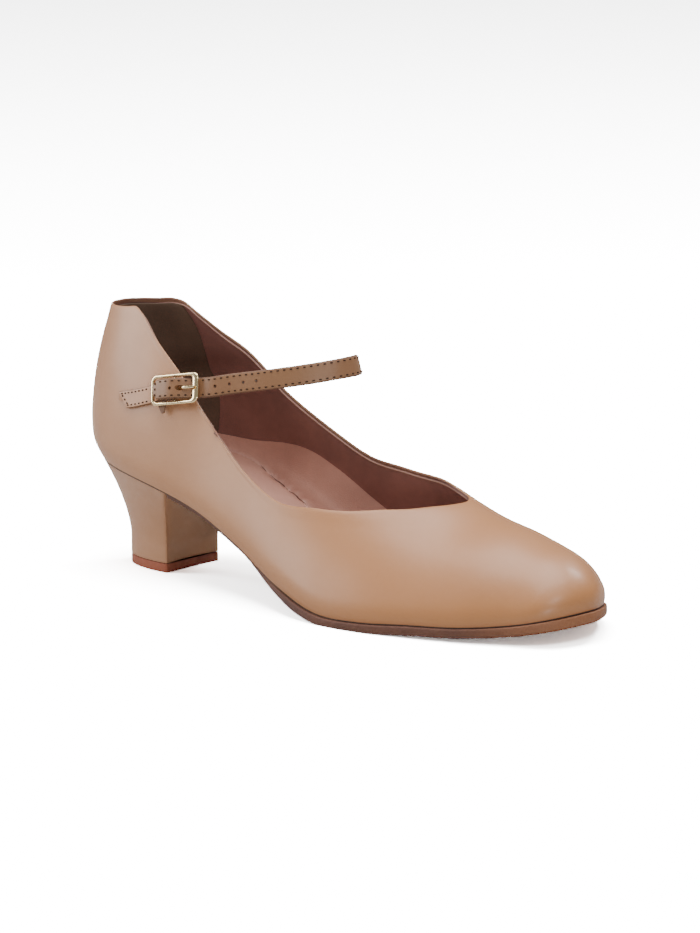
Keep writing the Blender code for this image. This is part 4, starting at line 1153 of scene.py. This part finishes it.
STITCH_PITCH = 0.00245
STITCH_LENGTH = 0.00118
STITCH_FROM_EDGE = 0.0011
STITCHES_FROM_TIP = 0.0030
STITCHES_FROM_END = 0.0026
ACROSS_STITCHES = (-0.28, 0, 0.28)
thread = thread_material("strap_thread", THREAD_COLOR)
ends = []
for side in (1, -1):
    aside = side * (STRAP_WIDTH / 2 - STITCH_FROM_EDGE)
    for distance in np.arange(STITCHES_FROM_TIP, run[-1] - STITCHES_FROM_END, STITCH_PITCH):
        one, _ = for_thread(frames, run, STRAP_THICKNESS, distance, aside)
        two, outward = for_thread(frames, run, STRAP_THICKNESS, distance + STITCH_LENGTH, aside)
        ends.append((one, two, outward))
for end in (0, 1):
    for share in ACROSS_STITCHES:
        place = []
        for step in (-0.5, 0.5):
            aside = share * STRAP_WIDTH + step * STITCH_LENGTH
            distance = abs(end * run[-1] - STITCH_FROM_EDGE)
            place.append(for_thread(frames, run, STRAP_THICKNESS, distance, aside))
        ends.append((place[0][0], place[1][0], place[1][1]))
rods("strap_stitches", ends, THREAD_RADIUS, thread)

# Buckle tab
# The short tab sewn to the outer quarter with a slanted end, looped round the middle bar, and the
# small flap under the buckle. The loop's slot for the prong is hidden and isn't cut here.
TAB_STEPS = 90
LOOP_STEPS = 7
FLAP_STEPS = 9
FLAP_FROM_END = 0.0042  # from the frame's back end
FLAP_SLANT = 0.0006
FLAP_LENGTH = 0.0042
FLAP_TUCK = 0.0016  # how far it begins inside the frame's lower side
FLAP_DROP = 0.0002  # below the middle bar
FLAP_WIDTHS = (0.0046, 0.0012)
FLAP_THICKNESS = 0.0007
lift = CLEARANCE + TAB_THICKNESS / 2
on_quarter = [seat_on_upper(row, OUTER, lift) for row in TAB_ON_QUARTER]
path = [seat[0] for seat in on_quarter]
path += [axes @ Vector((in_buckle(along), 0, lift - BUCKLE_STAND_OFF)) for along in TAB_TO_LOOP]
radius = LOOP_RADIUS - TAB_THICKNESS / 2
for turn in np.linspace(TAB_LOOP_START, TAB_LOOP_END, LOOP_STEPS):
    along = BAR_FROM_END + radius * math.cos(turn)
    path.append(axes @ Vector((along, 0, radius * math.sin(turn) - BAR_DROP)))
tab_centres = resample(path, TAB_STEPS)
tab_frames = band_frames(tab_centres, [turned @ Vector((0, 1, 0))] * TAB_STEPS)
tab = band(
    "tab_leather", tab_frames, [TAB_WIDTH] * TAB_STEPS, TAB_THICKNESS, 0.0, (tan_leather, edge_leather),
    slant=TAB_SLANT,
)
tab_run = lengths_along(tab_centres)
TAB_STITCH_PITCH = 0.00185
TAB_STITCH_LENGTH = 0.00105
TAB_STITCH_FROM_EDGE = 0.0010
TAB_STITCHES_START = 0.0014
TAB_STITCHES_PAST_SLANT = 0.0004
TAB_STITCHES_END = 0.0150
SLANT_STITCHES = (0.18, 0.5, 0.82)  # along the slanted end, as shares
SLANT_STITCH_HALF = 0.10
SLANT_STITCH_FROM_END = 0.0016
SLANT_FOLLOWED = 0.9
ends = []
off = TAB_WIDTH / 2 - TAB_STITCH_FROM_EDGE
for side, start in ((1, TAB_STITCHES_START), (-1, TAB_SLANT + TAB_STITCHES_PAST_SLANT)):
    for distance in np.arange(start, TAB_STITCHES_END, TAB_STITCH_PITCH):
        one, outward = for_thread(tab_frames, tab_run, TAB_THICKNESS, distance, side * off)
        distance = distance + TAB_STITCH_LENGTH
        two, _ = for_thread(tab_frames, tab_run, TAB_THICKNESS, distance, side * off)
        ends.append((one, two, outward))
for share in SLANT_STITCHES:
    places = []
    for at in (share - SLANT_STITCH_HALF, share + SLANT_STITCH_HALF):
        distance = SLANT_STITCH_FROM_END + TAB_SLANT * at * SLANT_FOLLOWED
        places.append(for_thread(tab_frames, tab_run, TAB_THICKNESS, distance, off - 2 * off * at))
    ends.append((places[0][0], places[1][0], places[0][1]))
rods("tab_stitches", ends, THREAD_RADIUS, thread)
downward = -1 if turned.col[1].z > 0 else 1
flap_centres = []
for share in np.linspace(0, 1, FLAP_STEPS):
    aside = downward * (BUCKLE_HEIGHT / 2 - FLAP_TUCK + FLAP_LENGTH * share)
    along = FLAP_FROM_END + FLAP_SLANT * share
    flap_centres.append(axes @ Vector((along, aside, -BAR_DROP - FLAP_DROP)))
flap_frames = band_frames(flap_centres, [turned.col[0]] * FLAP_STEPS)
flap_widths = np.linspace(*FLAP_WIDTHS, FLAP_STEPS)
band(
    "tab_flap", flap_frames, flap_widths, FLAP_THICKNESS, 0.0, (edge_leather, edge_leather),
)
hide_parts("buckle_tab")

# Buckle
# A pale gold frame with a broad end bar, its middle bar, and the prong whose sleeve turns on that
# bar and whose tip lies on the end bar.
CORNER_STEPS = 12
FRAME_ROUND_STEPS = 16
FRAME_SQUARENESS = 0.8  # below 1, so the wire's section is a little squarer than round
TUBE_SIDES = 20
PRONG_STEPS = 48
PRONG_TAPER = 0.35  # share of its radius lost over its last quarter


def rounded_rectangle(left, right, half_height, corner):
    """Corner points round a rectangle, anticlockwise from its lower right."""
    found = []
    for centre_x, centre_y, start in (
        (right - corner, -half_height + corner, -90),
        (right - corner, half_height - corner, 0),
        (left + corner, half_height - corner, 90),
        (left + corner, -half_height + corner, 180),
    ):
        for step in range(CORNER_STEPS + 1):
            turn = math.radians(start + 90 * step / CORNER_STEPS)
            found.append((centre_x + corner * math.cos(turn), centre_y + corner * math.sin(turn)))
    return found


def metal(name, color, roughness):
    """Polished plated metal with fine rubbed scratches in its gloss."""
    material, tree, shader, place = new_material(name)
    shader.inputs["Base Color"].default_value = (*color, 1)
    shader.inputs["Metallic"].default_value = 1.0
    stretch = tree.nodes.new("ShaderNodeMapping")
    stretch.inputs["Scale"].default_value = (1.0, 1.0, 9.0)
    tree.links.new(place, stretch.inputs["Vector"])
    rub = noise_node(tree, stretch.outputs["Vector"], 700.0, 4.0, 0.7)
    gloss = ranged(tree, rub, to_min=roughness * 0.7, to_max=roughness * 1.5)
    tree.links.new(gloss, shader.inputs["Roughness"])
    bumped(tree, shader, rub, 0.25, 0.00002)
    return material


def tube(name, path, radii, material, up):
    """A round closed rod along a path, with a radius for each of its points."""
    rows = []
    last = len(path) - 1
    order = [(0, 0.0)] + [(index, 1.0) for index in range(last + 1)] + [(last, 0.0)]
    for index, scale in order:
        way = (path[min(index + 1, last)] - path[max(index - 1, 0)]).normalized()
        side = way.cross(up).normalized()
        rise = side.cross(way).normalized()
        row = []
        for step in range(TUBE_SIDES):
            turn = 2 * math.pi * step / TUBE_SIDES
            spoke = side * math.cos(turn) + rise * math.sin(turn)
            row.append(path[index] + spoke * radii[index] * scale)
        rows.append([tuple(point) for point in row])
    return shaped_grid(name, np.array(rows), material, wrap_columns=True)


gold = metal("pale_gold", (0.860, 0.680, 0.400), 0.15)
outer = rounded_rectangle(0, BUCKLE_LENGTH, BUCKLE_HEIGHT / 2, BUCKLE_CORNER)
inner = rounded_rectangle(
    BUCKLE_WIRE,
    BUCKLE_LENGTH - BUCKLE_END_BAR,
    BUCKLE_HEIGHT / 2 - BUCKLE_WIRE,
    BUCKLE_CORNER - BUCKLE_WIRE,
)
outer, inner = np.array(outer), np.array(inner)
middle, reach = (outer + inner) / 2, (outer - inner) / 2
frame_rows = []
for step in range(FRAME_ROUND_STEPS):
    turn = 2 * math.pi * step / FRAME_ROUND_STEPS
    wide = math.copysign(abs(math.cos(turn)) ** FRAME_SQUARENESS, math.cos(turn))
    tall = math.copysign(abs(math.sin(turn)) ** FRAME_SQUARENESS, math.sin(turn)) * BUCKLE_WIRE / 2
    flat = middle + reach * wide
    frame_rows.append([tuple(axes @ Vector((x, y, tall))) for x, y in flat])
buckle = shaped_grid(
    "buckle_frame_gold", np.array(frame_rows), gold, wrap_rows=True, wrap_columns=True
)
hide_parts("buckle_frame")
bar_half = (BUCKLE_HEIGHT - BUCKLE_WIRE) / 2
bar_path = [axes @ Vector((BAR_FROM_END, y, -BAR_DROP)) for y in np.linspace(-bar_half, bar_half, 9)]
tube(
    "buckle_bar_gold", bar_path, [BAR_RADIUS] * len(bar_path), gold, turned.col[0]
)
sleeve_half = PRONG_SLEEVE_WIDTH / 2
sleeve_path = []
sleeve_radii = []
for place, ease in ((-1, 0.72), (-0.93, 0.92), (-0.8, 1), (0, 1), (0.8, 1), (0.93, 0.92), (1, 0.72)):
    sleeve_path.append(axes @ Vector((BAR_FROM_END, place * sleeve_half, -BAR_DROP)))
    sleeve_radii.append((BAR_RADIUS + CLEARANCE + PRONG_SLEEVE_WALL) * ease)
tube("prong_sleeve_gold", sleeve_path, sleeve_radii, gold, turned.col[0])
prong_rows = []
for row in PRONG_PATH:
    out_way = row.out * (ON_FRAME + BAR_DROP) - BAR_DROP
    prong_rows.append(axes @ Vector((in_buckle(row.along), 0, out_way)))
prong_path = resample(prong_rows, PRONG_STEPS)
prong_radii = []
for index in range(PRONG_STEPS):
    past = max(index / (PRONG_STEPS - 1) - 0.75, 0) / 0.25
    prong_radii.append(PRONG_RADIUS * (1 - PRONG_TAPER * past))
prong = tube("buckle_prong_gold", prong_path, prong_radii, gold, turned.col[1])
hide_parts("buckle_prong")

# Floor, light and camera
# A plain pale floor under soft studio light, and the camera at the photograph's angle.
FLOOR_HALF = 6.0
FLOOR_SEEN = 9.0
FLOOR_BOUNCE = 0.42
LIGHT_AIM = (0.08, 0.0, 0.04)
shape = bmesh.new()
bmesh.ops.create_grid(shape, x_segments=2, y_segments=2, size=FLOOR_HALF)
floor_mesh = bpy.data.meshes.new("floor")
shape.to_mesh(floor_mesh)
shape.free()
floor_paint = bpy.data.materials.new("floor_paint")
floor_paint.use_nodes = True
tree = floor_paint.node_tree
tree.nodes.remove(tree.nodes["Principled BSDF"])
seen, bounced = tree.nodes.new("ShaderNodeBsdfDiffuse"), tree.nodes.new("ShaderNodeBsdfDiffuse")
seen.inputs["Color"].default_value = (FLOOR_SEEN, FLOOR_SEEN, FLOOR_SEEN, 1)
bounced.inputs["Color"].default_value = (FLOOR_BOUNCE, FLOOR_BOUNCE, FLOOR_BOUNCE, 1)
ray = tree.nodes.new("ShaderNodeLightPath")
blend = tree.nodes.new("ShaderNodeMixShader")
tree.links.new(ray.outputs["Is Camera Ray"], blend.inputs["Fac"])
tree.links.new(bounced.outputs["BSDF"], blend.inputs[1])
tree.links.new(seen.outputs["BSDF"], blend.inputs[2])
tree.links.new(blend.outputs["Shader"], tree.nodes["Material Output"].inputs["Surface"])
floor_mesh.materials.append(floor_paint)
floor = linked("floor", floor_mesh)

world = bpy.data.worlds.new("studio")
world.use_nodes = True
world.node_tree.nodes["Background"].inputs["Color"].default_value = (1, 1, 1, 1)
world.node_tree.nodes["Background"].inputs["Strength"].default_value = 0.30
bpy.context.scene.world = world


def soft_light(name, place, size, power):
    """A soft box that faces the shoe."""
    data = bpy.data.lights.new(name, "AREA")
    data.shape = "RECTANGLE"
    data.size, data.size_y = size
    data.energy = power
    made = linked(name, data)
    aim = Vector(LIGHT_AIM) - Vector(place)
    made.matrix_world = Matrix.Translation(place) @ aim.to_track_quat("-Z", "Y").to_matrix().to_4x4()


soft_light("overhead", (0.0, 0.05, 1.3), (1.0, 0.9), 24.0)
soft_light("back_box", (0.26, 0.78, 0.93), (0.30, 0.30), 7.0)
soft_light("left_box", (-1.2, -0.9, 0.7), (0.8, 1.0), 22.0)
soft_light("right_box", (1.0, -0.45, 1.0), (0.4, 0.4), 6.0)
soft_light("front_box", (1.4, -1.0, 0.14), (0.4, 0.2), 6.0)

CAMERA_TURN = math.radians(42.068)
CAMERA_RISE = math.radians(11.650)
CAMERA_ROLL = math.radians(-0.679)
CAMERA_DISTANCE = 2.0
CAMERA_AIM = Vector((0.110, 0.0, 0.045)) - Vector(ORIGIN)
PICTURE = (700, 933)
FOCAL_PIXELS = 5548.7
CENTRE_PIXELS = (-22.62, 4.59)
right = Vector((math.cos(CAMERA_TURN), math.sin(CAMERA_TURN), 0))
back = Vector((
    math.sin(CAMERA_TURN) * math.cos(CAMERA_RISE),
    -math.cos(CAMERA_TURN) * math.cos(CAMERA_RISE),
    math.sin(CAMERA_RISE),
))
above = back.cross(right)
turned_right = right * math.cos(CAMERA_ROLL) + above * math.sin(CAMERA_ROLL)
turned_up = above * math.cos(CAMERA_ROLL) - right * math.sin(CAMERA_ROLL)
camera_data = bpy.data.cameras.new("camera")
camera_data.lens = camera_data.sensor_width * FOCAL_PIXELS / max(PICTURE)
camera_data.shift_x = -CENTRE_PIXELS[0] / max(PICTURE)
camera_data.shift_y = CENTRE_PIXELS[1] / max(PICTURE)
camera = linked("camera", camera_data)
camera.matrix_world = Matrix.Translation(CAMERA_AIM + back * CAMERA_DISTANCE) @ Matrix(
    (turned_right, turned_up, back)
).transposed().to_4x4()
bpy.context.scene.camera = camera
